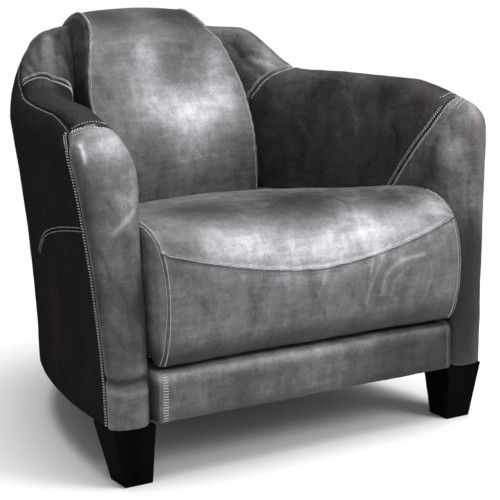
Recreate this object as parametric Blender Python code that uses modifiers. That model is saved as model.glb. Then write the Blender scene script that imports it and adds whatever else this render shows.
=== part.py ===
"""Worn leather club chair: a low tub armchair on a timber frame.

Metres, +Z up. The origin is on the floor under the middle of the chair's bounding box,
+X points to the right arm as seen from in front, and +Y points to the chair's back.
"""
import math

import bmesh
import bpy
from mathutils import Vector

# Clearances
GAP = 0.0003                # touching flat pieces
SEAM_GAP = 0.0016           # two covers that meet at a sewn seam
FRONT_SEAM_GAP = 0.0032     # the thick pads on both sides of an arm front seam
CURVE_GAP = 0.0030          # curved pads lying on curved rails

# Tub wall in plan: half an ellipse, open to the front
TUB_FRONT_Y = -0.363        # the straight line through both arm fronts at the floor
BOTTOM_HALF_WIDTH = 0.378
WALL_THICK = 0.0775         # arm from the seat's side to the outside, at the bottom
INNER_A = BOTTOM_HALF_WIDTH - WALL_THICK
INNER_B = 0.649             # inside depth at the middle of the back
WALL_BOTTOM_Z = 0.1024
SIDE_FLARE = 0.041          # the outside leans out by this much
WIDEST_Z = 0.543
FLARE_POWER = 1.6
TOP_DRAW_IN = 0.00792       # the outside draws in by this from there to the arm's top
BACK_THINNER = 0.0035       # the back is thinner than the arms by this

# Top edge of the tub wall
ARM_TOP_Z = 0.603
ARM_NOSE_DROP = 0.034       # the arm's top dips towards its front
ARM_NOSE_ANGLE = math.radians(14.5)
WING_RISE = 0.077
WING_START = math.radians(39)
WING_END = math.radians(55)
INNER_ROUND = 0.115         # height of the soft roll on the sitter's side
OUTER_ROUND = 0.055         # height of the tighter roll on the outside
RIDGE_SHARE = 0.52          # where the arm's ridge lies across the wall
WING_RIDGE_SHARE = 0.75     # and the wing's

# Arm front
FRONT_RAKE = 0.044
FRONT_RAKE_HEIGHT = 0.440
FRONT_EDGE_RADIUS = 0.030
FRONT_SEAM_TOP = 0.0707     # seam's distance behind the tub line on the arm's top
FRONT_SEAM_SLOPE = 1.17     # fall of the slanting seam on the inside of the arm
FRONT_SEAM_BEND_Z = 0.5235
FRONT_SEAM_LOW_Z = 0.300
FRONT_SEAM_END_Z = 0.200
FRONT_SEAM_SET_BACK = 0.004 # seam behind the rounded edge, low on the arm

# Covers and pads
PAD = 0.022                 # foam and leather on the inside of the arms and wings
FRONT_PAD = 0.012
PANEL = 0.004               # leather on board on the outside
PAD_BOTTOM_Z = 0.200
TOP_SEAM_DROP = 0.012       # outside seam below the ridge
BACK_SEAM_ANGLE = math.radians(52)
WING_SEAM_REACH = 0.040     # the wing seam's fall past the ridge, as one unit of travel

# Middle back cushion, which rolls over the top of the tub
SPINE_BOTTOM_HALF = 0.172
SPINE_WAIST_HALF = 0.172
SPINE_TOP_HALF = 0.121
SPINE_WAIST_Z = 0.560
SPINE_TOP_Z = 0.722
SPINE_SIDE_CLEAR = 0.002
WING_END_CLEAR = 0.005
WING_BACK_CLEAR = 0.015
SPINE_HOOK_Z = 0.6404       # underside of the roll, on the back's top rail
SPINE_CENTRE = (0.230, 0.560)
SPINE_ROLL_START_Y = 0.200  # from here back the roll follows the curve of the tub
SPINE_PROFILE = (
    (0.066, 0.392), (0.070, 0.440), (0.083, 0.500), (0.110, 0.556), (0.138, 0.610),
    (0.163, 0.660), (0.196, 0.697), (0.244, 0.717), (0.292, SPINE_TOP_Z), (0.340, 0.712),
    (0.378, 0.686), (0.394, 0.650), (0.393, SPINE_HOOK_Z), (0.320, SPINE_HOOK_Z),
    (0.258, SPINE_HOOK_Z), (0.248, 0.620), (0.242, 0.560), (0.237, 0.480), (0.232, 0.392),
)

# Seat
SEAT_BACK_Y = 0.060
SEAT_EAR_Y = 0.100
SEAT_SIDE_GAP = 0.0015
SEAT_EAR_START = 0.88       # the ears begin here, as a share of the half width
SEAT_FRONT_END_Y = -0.360   # what lies before this rounds in at the cushion's ends
SEAT_CROWN_START_Z = 0.300
SEAT_PROFILE = (
    (-0.340, 0.2068), (-0.368, 0.1945), (-0.385, 0.215), (-0.397, 0.262), (-0.400, 0.305),
    (-0.394, 0.345), (-0.380, 0.378), (-0.352, 0.405), (-0.300, 0.420), (-0.200, 0.425),
    (-0.100, 0.414), (0.000, 0.396), (1.000, 0.384), (1.000, 0.2068),
)
BORDER_FRONT_Y = -0.376
BORDER_THICK = 0.0545
BORDER_TOP_Z = 0.186
BORDER_BOTTOM_Z = 0.1018

# Timber frame
RAIL_BOTTOM_Z = 0.1018
RAIL_TOP_Z = 0.165
SEAT_RAIL_TOP_Z = 0.186
BOARD = 0.033
SEAT_RAIL_THICK = 0.030
REAR_SEAT_RAIL_Y = 0.181
BASE_RAIL_START = math.radians(2.0)
BASE_RAIL_END = math.radians(55)
FRONT_POST_ANGLE = math.radians(7.6)
POST_HALF_ANGLE = math.radians(1.9)
ARM_RAIL_BOTTOM_Z = 0.480
ARM_RAIL_TOP_Z = 0.520
ARM_RAIL_SET_OUT = 0.005
ARM_RAIL_END = math.radians(54)
MID_POST_ANGLE = math.radians(38)
BACK_POST_ANGLE = math.radians(64.5)
BACK_RAIL_BOTTOM_Z = 0.600
BACK_RAIL_TOP_Z = 0.640
BACK_RAIL_START = math.radians(60.5)
BACK_RAIL_DEPTHS = (0.060, 0.086)
BACK_POST_DEPTHS = (0.045, 0.069)

# Seat springs
SPRING_WIRE = 0.0038
SPRING_WIDTH = 0.060
SPRING_HALF_WAVES = 14
SPRING_ARCH = 0.010
SPRING_X = (-0.126, -0.042, 0.042, 0.126)
CLIP_WIDTH = 0.014
CLIP_STEEL = 0.0012
CLIP_FOOT = 0.004

# Cloth
DECK_THICK = 0.003
STRAP_WIDTH = 0.060
STRAP_THICK = 0.002
STRAP_X = (-0.100, 0.0, 0.100)
DUST_COVER_THICK = 0.0012
DUST_COVER_FRONT_Y = -0.345
DECK_BACK_CLEAR = 0.030
DECK_SIDE_CLEAR = 0.006
DECK_SIDE_LIMIT = 0.020
STRAP_LOW_Z = 0.130
STRAP_END_CLEAR = 0.004

# Feet
FOOT_HEIGHT = 0.100
FOOT_TOP = 0.0764
FOOT_BOTTOM = 0.0512
FOOT_SET_IN = 0.0392        # front foot's centre inside the wall's outside face
FOOT_SET_BACK = 0.0332
FOOT_RAKE = (-0.0083, -0.0076)
FRONT_FOOT_TOP_CENTRE = (BOTTOM_HALF_WIDTH - FOOT_SET_IN, TUB_FRONT_Y + FOOT_SET_BACK)
FRONT_FOOT_BOTTOM_CENTRE = (FRONT_FOOT_TOP_CENTRE[0] + FOOT_RAKE[0],
                            FRONT_FOOT_TOP_CENTRE[1] + FOOT_RAKE[1])
REAR_FOOT_CENTRE = (0.157, REAR_SEAT_RAIL_Y)
BOLT_RADIUS = 0.004
BOLT_LOW_Z = 0.055
BOLT_HIGH_Z = 0.150
BOLT_CLEAR = 0.0003

# Colours from the photograph (linear) with roughness and metallic
LEATHER_GREY = ("leather_grey", (0.150, 0.150, 0.152), 0.48, 0.0)
LEATHER_DARK = ("leather_dark", (0.028, 0.026, 0.026), 0.52, 0.0)
BLACK_WOOD = ("black_wood", (0.010, 0.010, 0.010), 0.55, 0.0)
FRAME_WOOD = ("frame_wood", (0.420, 0.270, 0.140), 0.70, 0.0)
SPRING_STEEL = ("spring_steel", (0.300, 0.300, 0.310), 0.40, 1.0)
BOLT_STEEL = ("bolt_steel", (0.500, 0.490, 0.460), 0.35, 1.0)
WEBBING = ("webbing", (0.300, 0.230, 0.140), 0.90, 0.0)
DECK_CLOTH = ("deck_cloth", (0.400, 0.370, 0.300), 0.95, 0.0)
BLACK_CLOTH = ("black_cloth", (0.012, 0.012, 0.013), 0.95, 0.0)

CIRCLE_SIDES = 20


def clear_scene():
    for old in list(bpy.data.objects):
        bpy.data.objects.remove(old, do_unlink=True)


def new_collection(name):
    collection = bpy.data.collections.new(name)
    bpy.context.scene.collection.children.link(collection)
    return collection


def material(finish):
    name, colour, roughness, metallic = finish
    found = bpy.data.materials.get(name)
    if found:
        return found
    made = bpy.data.materials.new(name)
    made.use_nodes = True
    shader = made.node_tree.nodes["Principled BSDF"]
    shader.inputs["Base Color"].default_value = (*colour, 1.0)
    shader.inputs["Roughness"].default_value = roughness
    shader.inputs["Metallic"].default_value = metallic
    return made


def place(obj, finish):
    """Put an object in the chair's collection with its material."""
    for collection in list(obj.users_collection):
        collection.objects.unlink(obj)
    chair.objects.link(obj)
    obj.data.materials.clear()
    obj.data.materials.append(material(finish))
    return obj


def mesh_object(name, points, faces, finish, smooth=True):
    mesh = bpy.data.meshes.new(name)
    mesh.from_pydata([tuple(p) for p in points], [], faces)
    mesh.validate()
    work = bmesh.new()
    work.from_mesh(mesh)
    bmesh.ops.remove_doubles(work, verts=work.verts, dist=1e-6)
    work.to_mesh(mesh)
    work.free()
    if smooth:
        mesh.shade_smooth()
        mesh.set_sharp_from_angle(angle=math.radians(40))
    obj = bpy.data.objects.new(name, mesh)
    return place(obj, finish)


def sheet(name, rows, finish, thickness, side):
    """A cover as an open sheet of points with its thickness on the inner side."""
    width = len(rows[0])
    points = [p for row in rows for p in row]
    faces = []
    for r in range(len(rows) - 1):
        for c in range(width - 1):
            corner = r * width + c
            face = [corner, corner + 1, corner + width + 1, corner + width]
            faces.append(face if side > 0 else face[::-1])
    obj = mesh_object(name, points, faces, finish)
    skin = obj.modifiers.new("thickness", "SOLIDIFY")
    skin.thickness = thickness
    skin.offset = -1.0
    return obj


def loft(name, sections, finish, smooth=True):
    """A closed solid through sections with equal numbers of points."""
    count = len(sections[0])
    points = [p for section in sections for p in section]
    faces = []
    for s in range(len(sections) - 1):
        for i in range(count):
            here = s * count + i
            after = s * count + (i + 1) % count
            faces.append([here, after, after + count, here + count])
    faces.append(list(range(count))[::-1])
    faces.append([(len(sections) - 1) * count + i for i in range(count)])
    obj = mesh_object(name, points, faces, finish, smooth)
    work = bmesh.new()
    work.from_mesh(obj.data)
    bmesh.ops.recalc_face_normals(work, faces=work.faces)
    work.to_mesh(obj.data)
    work.free()
    return obj


def bevel(obj, width, segments=2):
    rounding = obj.modifiers.new("rounding", "BEVEL")
    rounding.width = width
    rounding.segments = segments
    rounding.limit_method = "ANGLE"
    return obj


def box(name, low, high, finish, rounding=0.002):
    """A board between two corners."""
    size = [h - l for l, h in zip(low, high)]
    centre = [(h + l) / 2 for l, h in zip(low, high)]
    mesh = bpy.data.meshes.new(name)
    work = bmesh.new()
    bmesh.ops.create_cube(work, size=1.0)
    bmesh.ops.scale(work, vec=size, verts=work.verts)
    work.to_mesh(mesh)
    work.free()
    obj = bpy.data.objects.new(name, mesh)
    obj.location = centre
    place(obj, finish)
    return bevel(obj, rounding, 1) if rounding else obj


def cylinder_cutter(name, centre, radius, low_z, high_z):
    mesh = bpy.data.meshes.new(name)
    work = bmesh.new()
    bmesh.ops.create_cone(work, cap_ends=True, segments=CIRCLE_SIDES, radius1=radius,
                          radius2=radius, depth=high_z - low_z)
    work.to_mesh(mesh)
    work.free()
    obj = bpy.data.objects.new(name, mesh)
    obj.location = (centre[0], centre[1], (low_z + high_z) / 2)
    cutters.objects.link(obj)
    obj.hide_render = True
    obj.display_type = "WIRE"
    return obj


def cut(obj, cutter):
    hole = obj.modifiers.new("hole", "BOOLEAN")
    hole.operation = "DIFFERENCE"
    hole.object = cutter


# Shape of the tub wall

def smoothstep(value):
    value = min(1.0, max(0.0, value))
    return value * value * (3 - 2 * value)


def outer_half_width(z):
    if z < WIDEST_Z:
        lean = max(0.0, (z - WALL_BOTTOM_Z) / (WIDEST_Z - WALL_BOTTOM_Z))
        return BOTTOM_HALF_WIDTH + SIDE_FLARE * lean ** FLARE_POWER
    above = (z - WIDEST_Z) / (ARM_TOP_Z - WIDEST_Z)
    return BOTTOM_HALF_WIDTH + SIDE_FLARE - TOP_DRAW_IN * above ** 2


def ridge_height(angle):
    rise = WING_RISE * smoothstep((angle - WING_START) / (WING_END - WING_START))
    dip = ARM_NOSE_DROP * (1 - smoothstep(angle / ARM_NOSE_ANGLE))
    return ARM_TOP_Z + rise - dip


def ridge_share(angle):
    climb = smoothstep((angle - WING_START) / (WING_END - WING_START))
    return RIDGE_SHARE + (WING_RIDGE_SHARE - RIDGE_SHARE) * climb


def share_across(angle, z, outside):
    """How far across the wall the surface lies at a height: 0 inside, 1 outside."""
    ridge = ridge_height(angle)
    crest = ridge_share(angle)
    drop = OUTER_ROUND if outside else INNER_ROUND
    climb = min(1.0, max(0.0, (z - ridge + drop) / drop))
    pull = 1 - math.sqrt(1 - climb * climb)
    if outside:
        return 1 - (1 - crest) * pull
    return crest * pull


def half_axes(share, z):
    thick = outer_half_width(z) - INNER_A
    return INNER_A + thick * share, INNER_B + (thick - BACK_THINNER) * share


def wall_point(angle, z, outside, side):
    share = share_across(angle, z, outside)
    a, b = half_axes(share, z)
    return Vector((side * a * math.cos(angle), TUB_FRONT_Y + b * math.sin(angle), z))


def angle_at_y(y, angle, z, outside):
    share = share_across(angle, z, outside)
    return math.asin((y - TUB_FRONT_Y) / half_axes(share, z)[1])


def angle_at_x(x, angle, z, outside):
    share = share_across(angle, z, outside)
    return math.acos(min(1.0, x / half_axes(share, z)[0]))


def cover_rows(stations, span, count, side):
    """Points of a cover between two seams; both seams are given as angle by height."""
    rows = []
    for part in straight(0.0, 1.0, count):
        row = []
        for number in range(len(stations(0.0))):
            angle = WING_START
            for _ in range(6):
                z, outside = stations(angle)[number]
                first, last = span(angle, z, outside)
                angle = first + (last - first) * part
            row.append(wall_point(angle, z, outside, side))
        rows.append(row)
    return rows


def straight(low, high, count):
    return [low + (high - low) * i / count for i in range(count + 1)]


def roll_heights(ridge, drop, count, low_share=0.0):
    """Heights up a quarter roll, evenly spaced round it."""
    start = math.asin(low_share)
    turns = straight(start, math.pi / 2, count)
    return [ridge - drop + drop * math.sin(t) for t in turns]


def top_seam_share():
    return (OUTER_ROUND - TOP_SEAM_DROP) / OUTER_ROUND


def cover_stations(angle, low, straight_count, inner_count, outer_count):
    """Heights from the inside bottom over the ridge to the outside seam."""
    ridge = ridge_height(angle)
    inside = [low] + straight(FRONT_SEAM_LOW_Z, ridge - INNER_ROUND, straight_count)[:-1]
    inside += roll_heights(ridge, INNER_ROUND, inner_count)
    outside = roll_heights(ridge, OUTER_ROUND, outer_count, top_seam_share())[::-1]
    return [(z, False) for z in inside] + [(z, True) for z in outside[1:]]


def front_line(z):
    """Depth of the arm's front face at a height."""
    lean = max(0.0, (z - WALL_BOTTOM_Z) / FRONT_RAKE_HEIGHT)
    return TUB_FRONT_Y + FRONT_RAKE * lean ** 1.5


def front_seam_y(z, outside):
    """Depth of the seam between the arm's front facing and the covers behind it."""
    edge = front_line(z) + FRONT_EDGE_RADIUS + FRONT_SEAM_SET_BACK
    top = TUB_FRONT_Y + FRONT_SEAM_TOP
    if outside:
        near_top = smoothstep((z - WIDEST_Z) / (ARM_TOP_Z - TOP_SEAM_DROP - WIDEST_Z))
        return edge + (max(edge, top) - edge) * near_top
    slant = top + max(0.0, FRONT_SEAM_BEND_Z - max(z, FRONT_SEAM_LOW_Z)) / FRONT_SEAM_SLOPE
    fade = (z - FRONT_SEAM_END_Z) / (FRONT_SEAM_LOW_Z - FRONT_SEAM_END_Z)
    fade = min(1.0, max(0.0, fade))
    return edge + (max(edge, slant) - edge) * fade


# Arm fronts, arms and wings

SEAM_GAP_ANGLE = SEAM_GAP / INNER_B
FRONT_SEAM_GAP_ANGLE = FRONT_SEAM_GAP / INNER_B
WING_SEAM = ((0.0, math.radians(56)), (0.545, math.radians(50)), (0.80, math.radians(47)),
             (1.0, math.radians(40)), (1.3, math.radians(37.5)))


def wing_seam_angle(z, outside):
    """The seam swings forward as it climbs over the wall, 1 being the ridge."""
    travel = z / ARM_TOP_Z if not outside else 1.0 + (ARM_TOP_Z - z) / WING_SEAM_REACH
    travel = min(travel, WING_SEAM[-1][0])
    for (t0, a0), (t1, a1) in zip(WING_SEAM, WING_SEAM[1:]):
        if travel <= t1:
            return a0 + (a1 - a0) * (travel - t0) / (t1 - t0)
    return WING_SEAM[-1][1]


def facing_stations(angle):
    """Heights from the inside bottom over the ridge and down the outside."""
    ridge = ridge_height(angle)
    heights = [WALL_BOTTOM_Z, FRONT_SEAM_END_Z]
    heights += straight(FRONT_SEAM_LOW_Z, ridge - INNER_ROUND, 3)[:-1]
    heights += roll_heights(ridge, INNER_ROUND, 6)
    return [(z, False) for z in heights] + [(z, True) for z in heights[-2::-1]]


def arm_front(name, side):
    """The facing wraps the arm's front and runs back to the slanting seam."""
    def span(angle, z, outside):
        first = angle_at_y(front_line(z) + FRONT_EDGE_RADIUS, angle, z, outside)
        return first, angle_at_y(front_seam_y(z, outside), angle, z, outside)

    def face_point(edge, share):
        core_z = min(edge.z, core_top)
        half = (half_axes(0.0, core_z)[0] + half_axes(1.0, core_z)[0]) / 2
        core = Vector((side * half, 0.0, core_z))
        reach = math.hypot(edge.x - core.x, edge.z - core.z)
        inward = min(1.0, share * reach / FRONT_EDGE_RADIUS)
        x = edge.x + (core.x - edge.x) * share
        height = edge.z + (core.z - edge.z) * share
        depth = FRONT_EDGE_RADIUS * (1 - math.sqrt(1 - (1 - inward) ** 2))
        return Vector((x, front_line(height) + depth, height))

    legs = cover_rows(facing_stations, span, 2, side)
    core_top = max(edge.z for edge in legs[0]) - OUTER_ROUND
    rows = [[face_point(edge, share) for edge in legs[0]]
            for share in (1.0, 0.55, 0.25, 0.08)]
    return sheet(name, rows + legs, LEATHER_GREY, FRONT_PAD, side)


def arm_pad(name, side):
    """Inside of the arm and its rolled top, from the front seam to the wing seam."""
    def stations(angle):
        return cover_stations(angle, PAD_BOTTOM_Z, 3, 6, 4)

    def span(angle, z, outside):
        first = angle_at_y(front_seam_y(z, outside), angle, z, outside)
        last = wing_seam_angle(z, outside)
        return first + FRONT_SEAM_GAP_ANGLE, last - SEAM_GAP_ANGLE

    return sheet(name, cover_rows(stations, span, 9, side), LEATHER_DARK, PAD, side)


def wing(name, side):
    """The raised cover from the wing seam round to the middle cushion."""
    def stations(angle):
        return cover_stations(angle, PAD_BOTTOM_Z, 3, 6, 4)

    def span(angle, z, outside):
        first = wing_seam_angle(min(z, ARM_TOP_Z), outside)
        clear = WING_BACK_CLEAR if outside else WING_END_CLEAR
        last = angle_at_x(spine_half(z) + clear, angle, z, outside)
        return first + SEAM_GAP_ANGLE, last

    return sheet(name, cover_rows(stations, span, 8, side), LEATHER_GREY, PAD, side)


# Outside covers

def outside_stations(angle):
    ridge = ridge_height(angle)
    bend = ridge - OUTER_ROUND
    share = (OUTER_ROUND - TOP_SEAM_DROP - SEAM_GAP) / OUTER_ROUND
    upper = [bend + OUTER_ROUND * math.sin(t) for t in straight(0.0, math.asin(share), 4)]
    lower = straight(WALL_BOTTOM_Z, bend, 5)[:-1]
    return [(z, True) for z in (lower + upper)[::-1]]


def side_panel(name, side):
    def span(angle, z, outside):
        first = angle_at_y(front_seam_y(z, outside), angle, z, outside)
        return first + FRONT_SEAM_GAP_ANGLE, BACK_SEAM_ANGLE
    rows = cover_rows(outside_stations, span, 9, side)
    return sheet(name, rows, LEATHER_DARK, PANEL, side)


def back_corner_panel(name, side):
    def span(angle, z, outside):
        last = angle_at_x(spine_half(z) + SPINE_SIDE_CLEAR, angle, z, outside)
        return BACK_SEAM_ANGLE + SEAM_GAP_ANGLE, last
    rows = cover_rows(outside_stations, span, 4, side)
    return sheet(name, rows, LEATHER_DARK, PANEL, side)


def back_centre_panel(name):
    """The strip under the rolled end of the middle cushion."""
    top = SPINE_HOOK_Z - GAP
    rows = []
    for part in straight(-1.0, 1.0, 6):
        row = []
        for z in straight(WALL_BOTTOM_Z, top, 7)[::-1]:
            x = part * (spine_half(z) + SPINE_SIDE_CLEAR - 2 * SEAM_GAP)
            a, b = half_axes(1.0, min(z, ARM_TOP_Z))
            y = TUB_FRONT_Y + b * math.sqrt(1 - (x / a) ** 2)
            row.append(Vector((x, y, z)))
        rows.append(row)
    return sheet(name, rows, LEATHER_DARK, PANEL, -1)


# Middle back cushion and seat

def spine_half(z):
    """Half width of the middle cushion: even below, drawn in towards its top."""
    if z < SPINE_WAIST_Z:
        part = (z - WALL_BOTTOM_Z) / (SPINE_WAIST_Z - WALL_BOTTOM_Z)
        return SPINE_BOTTOM_HALF + (SPINE_WAIST_HALF - SPINE_BOTTOM_HALF) * part
    part = min(1.0, (z - SPINE_WAIST_Z) / (SPINE_TOP_Z - SPINE_WAIST_Z))
    return SPINE_WAIST_HALF + (SPINE_TOP_HALF - SPINE_WAIST_HALF) * part ** 1.4


def back_curve(x):
    """How far forward of its middle the tub's back lies at a place across it."""
    a, b = half_axes(1.0, ARM_TOP_Z)
    return b * (1 - math.sqrt(1 - (x / a) ** 2))


def middle_cushion(name):
    """The cushion's front is flat across; its roll follows the curve of the back."""
    centre = Vector((0.0, *SPINE_CENTRE))
    roll_end = max(y for y, _ in SPINE_PROFILE)
    sections = []
    for station, inset in ((-1.0, 0.010), (-0.95, 0.002), (-0.64, 0.0), (-0.32, 0.0),
                           (0.0, 0.0), (0.32, 0.0), (0.64, 0.0), (0.95, 0.002),
                           (1.0, 0.010)):
        section = []
        for y, z in SPINE_PROFILE:
            point = Vector((0.0, y, z))
            inward = (centre - point).normalized() * inset
            half = spine_half(z) - SPINE_SIDE_CLEAR / 2
            lowest = SPINE_HOOK_Z if z >= SPINE_HOOK_Z else 0.0
            height = max(lowest, z + inward.z)
            past = (y - SPINE_ROLL_START_Y) / (roll_end - SPINE_ROLL_START_Y)
            share = past if z >= SPINE_HOOK_Z else 0.0
            depth = y + inward.y - max(0.0, share) * back_curve(station * half)
            section.append(Vector((station * half, depth, height)))
        sections.append(section)
    return loft(name, sections, LEATHER_GREY)


def seat_half_width(y):
    reach = max(0.0, y - TUB_FRONT_Y) / INNER_B
    return INNER_A * math.sqrt(1 - reach * reach) - SEAT_SIDE_GAP


def seat_cushion(name):
    """Cushion between the arms, with two ears beside the middle back cushion."""
    sections = []
    for station, inset in ((-1.0, 0.012), (-0.96, 0.003), (-0.89, 0.0), (-0.86, 0.0),
                           (-0.6, 0.0), (-0.3, 0.0), (0.0, 0.0), (0.3, 0.0), (0.6, 0.0),
                           (0.86, 0.0), (0.89, 0.0), (0.96, 0.003), (1.0, 0.012)):
        back = SEAT_EAR_Y if abs(station) > SEAT_EAR_START else SEAT_BACK_Y
        section = []
        for y, z in SEAT_PROFILE:
            y = back if y > back else y
            drop = inset if z > SEAT_CROWN_START_Z else 0.0
            y_in = y + inset if y < SEAT_FRONT_END_Y else y
            section.append(Vector((station * seat_half_width(y), y_in, z - drop)))
        sections.append(section)
    return loft(name, sections, LEATHER_GREY)


def front_border(name):
    half = INNER_A - SEAT_SIDE_GAP
    obj = box(name, (-half, BORDER_FRONT_Y, BORDER_BOTTOM_Z),
              (half, BORDER_FRONT_Y + BORDER_THICK, BORDER_TOP_Z), LEATHER_GREY, 0)
    return bevel(obj, 0.007, 3)


# Timber frame

def frame_point(angle, depth, z, side):
    """A point inside the wall, measured outwards from the sitter's surface."""
    return Vector((side * (INNER_A + depth) * math.cos(angle),
                   TUB_FRONT_Y + (INNER_B + depth) * math.sin(angle), z))


def curved_board(name, angles, depths, heights, side=1.0):
    sections = []
    for angle in angles:
        sections.append([frame_point(angle, depths[0], heights[0], side),
                         frame_point(angle, depths[1], heights[0], side),
                         frame_point(angle, depths[1], heights[1], side),
                         frame_point(angle, depths[0], heights[1], side)])
    return loft(name, sections, FRAME_WOOD, smooth=False)


def post(name, angle, depths, heights, side):
    ends = (angle - POST_HALF_ANGLE, angle + POST_HALF_ANGLE)
    return curved_board(name, ends, depths, heights, side)


def cross_rail(name, front):
    """Straight board across the tub; its ends are sawn to meet the curved rails."""
    back = front + SEAT_RAIL_THICK
    depth = PAD + CURVE_GAP

    def end_x(y):
        reach = (y - TUB_FRONT_Y) / (INNER_B + depth)
        return (INNER_A + depth) * math.sqrt(1 - reach * reach) - SEAM_GAP

    corners = ((front, RAIL_BOTTOM_Z), (back, RAIL_BOTTOM_Z),
               (back, SEAT_RAIL_TOP_Z), (front, SEAT_RAIL_TOP_Z))
    sections = [[Vector((side * end_x(y), y, z)) for y, z in corners]
                for side in (-1.0, 0.0, 1.0)]
    return loft(name, sections, FRAME_WOOD, smooth=False)


def frame_pieces():
    """Rails and posts inside the tub; the ones that carry the feet are returned."""
    inner = PAD + CURVE_GAP
    base = (inner, inner + BOARD)
    arm = (inner + ARM_RAIL_SET_OUT, inner + BOARD + ARM_RAIL_SET_OUT)
    base_heights = (RAIL_BOTTOM_Z, RAIL_TOP_Z)
    post_heights = (RAIL_TOP_Z + GAP, ARM_RAIL_BOTTOM_Z - GAP)
    cross_rail("front_rail", BORDER_FRONT_Y + BORDER_THICK + GAP)
    carriers = {"rear": cross_rail("rear_seat_rail", REAR_SEAT_RAIL_Y - SEAT_RAIL_THICK / 2)}
    for side, hand in ((-1.0, "left"), (1.0, "right")):
        carriers[hand] = curved_board("base_rail_" + hand,
                                      straight(BASE_RAIL_START, BASE_RAIL_END, 10),
                                      base, base_heights, side)
        post("front_post_" + hand, FRONT_POST_ANGLE, base, post_heights, side)
        post("middle_post_" + hand, MID_POST_ANGLE, base, post_heights, side)
        post("back_post_" + hand, BACK_POST_ANGLE, BACK_POST_DEPTHS,
             (RAIL_TOP_Z + GAP, BACK_RAIL_BOTTOM_Z - GAP), side)
        curved_board("arm_rail_" + hand,
                     straight(FRONT_POST_ANGLE - POST_HALF_ANGLE, ARM_RAIL_END, 10),
                     arm, (ARM_RAIL_BOTTOM_Z, ARM_RAIL_TOP_Z), side)
    joint = BASE_RAIL_END + GAP
    curved_board("rear_base_rail", straight(joint, math.pi - joint, 12), base, base_heights)
    curved_board("back_top_rail", straight(BACK_RAIL_START, math.pi - BACK_RAIL_START, 10),
                 BACK_RAIL_DEPTHS, (BACK_RAIL_BOTTOM_Z, BACK_RAIL_TOP_Z))
    return carriers


# Seat springs with their clips

def closed_path(curve, points):
    path = curve.splines.new("POLY")
    path.points.add(len(points) - 1)
    path.use_cyclic_u = True
    for target, (px, py) in zip(path.points, points):
        target.co = (px, py, 0.0, 1.0)


def spring_y_range():
    front = BORDER_FRONT_Y + BORDER_THICK + GAP + SEAT_RAIL_THICK * 0.5
    return front, REAR_SEAT_RAIL_Y


def spring_height(y):
    start, end = spring_y_range()
    part = (y - start) / (end - start)
    lift = SPRING_ARCH * 4 * part * (1 - part)
    return SEAT_RAIL_TOP_Z + CLIP_STEEL + 2 * GAP + SPRING_WIRE / 2 + lift


def sinuous_spring(name, x):
    """A flat zigzag of wire with a straight bar at each end, arched a little upwards."""
    start, end = spring_y_range()
    pitch = (end - start) / SPRING_HALF_WAVES
    radius = pitch / 2
    reach = SPRING_WIDTH / 2 - radius
    points = [(x - reach, start)]
    for turn in range(SPRING_HALF_WAVES):
        hand = 1 if turn % 2 == 0 else -1
        y = start + pitch * (turn + 0.5)
        for step in range(4):
            swing = -math.pi / 2 + math.pi * step / 3
            points.append((x + hand * (reach + radius * math.cos(swing)),
                           y + radius * math.sin(swing)))
    points.append((x + reach, end))
    curve = bpy.data.curves.new(name, "CURVE")
    curve.dimensions = "3D"
    curve.bevel_depth = SPRING_WIRE / 2
    curve.bevel_resolution = 1
    curve.use_fill_caps = True
    path = curve.splines.new("POLY")
    path.points.add(len(points) - 1)
    for target, (px, py) in zip(path.points, points):
        target.co = (px, py, spring_height(py), 1.0)
    return place(bpy.data.objects.new(name, curve), SPRING_STEEL)


def spring_clip(name, x, y):
    """A bent steel strap: a foot on the rail and a hook over the wire."""
    inside = SPRING_WIRE / 2 + GAP
    outside = inside + CLIP_STEEL
    foot = outside + CLIP_FOOT
    outline = [(-foot, -outside), (outside * 0.7, -outside)]
    for step in range(7):
        turn = -math.pi / 4 + math.pi * step / 6
        outline.append((outside * math.cos(turn), outside * math.sin(turn)))
    for step in range(6, -1, -1):
        turn = -math.pi / 4 + math.pi * step / 6
        outline.append((inside * math.cos(turn), inside * math.sin(turn)))
    outline += [(inside * 0.6, -inside), (-foot, -inside)]
    curve = bpy.data.curves.new(name, "CURVE")
    curve.dimensions = "2D"
    curve.fill_mode = "BOTH"
    curve.extrude = CLIP_WIDTH / 2
    closed_path(curve, outline)
    obj = bpy.data.objects.new(name, curve)
    front = y < 0
    obj.rotation_euler = (math.pi / 2, 0.0, -math.pi / 2 if front else math.pi / 2)
    obj.location = (x, y, spring_height(y))
    return place(obj, SPRING_STEEL)


# Cloth pieces

def deck_cloth(name):
    """Padded cloth over the springs, under the seat cushion."""
    start, end = spring_y_range()
    base = SPRING_WIRE / 2 + CLIP_STEEL + 2 * GAP
    sections = []
    for part in straight(0.0, 1.0, 8):
        y = start + (end - DECK_BACK_CLEAR - start) * part
        half = min(seat_half_width(y) - DECK_SIDE_CLEAR, INNER_A - DECK_SIDE_LIMIT)
        z = spring_height(y) + base
        sections.append([Vector((-half, y, z)), Vector((half, y, z)),
                         Vector((half, y, z + DECK_THICK)), Vector((-half, y, z + DECK_THICK))])
    return loft(name, sections, DECK_CLOTH, smooth=False)


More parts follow.
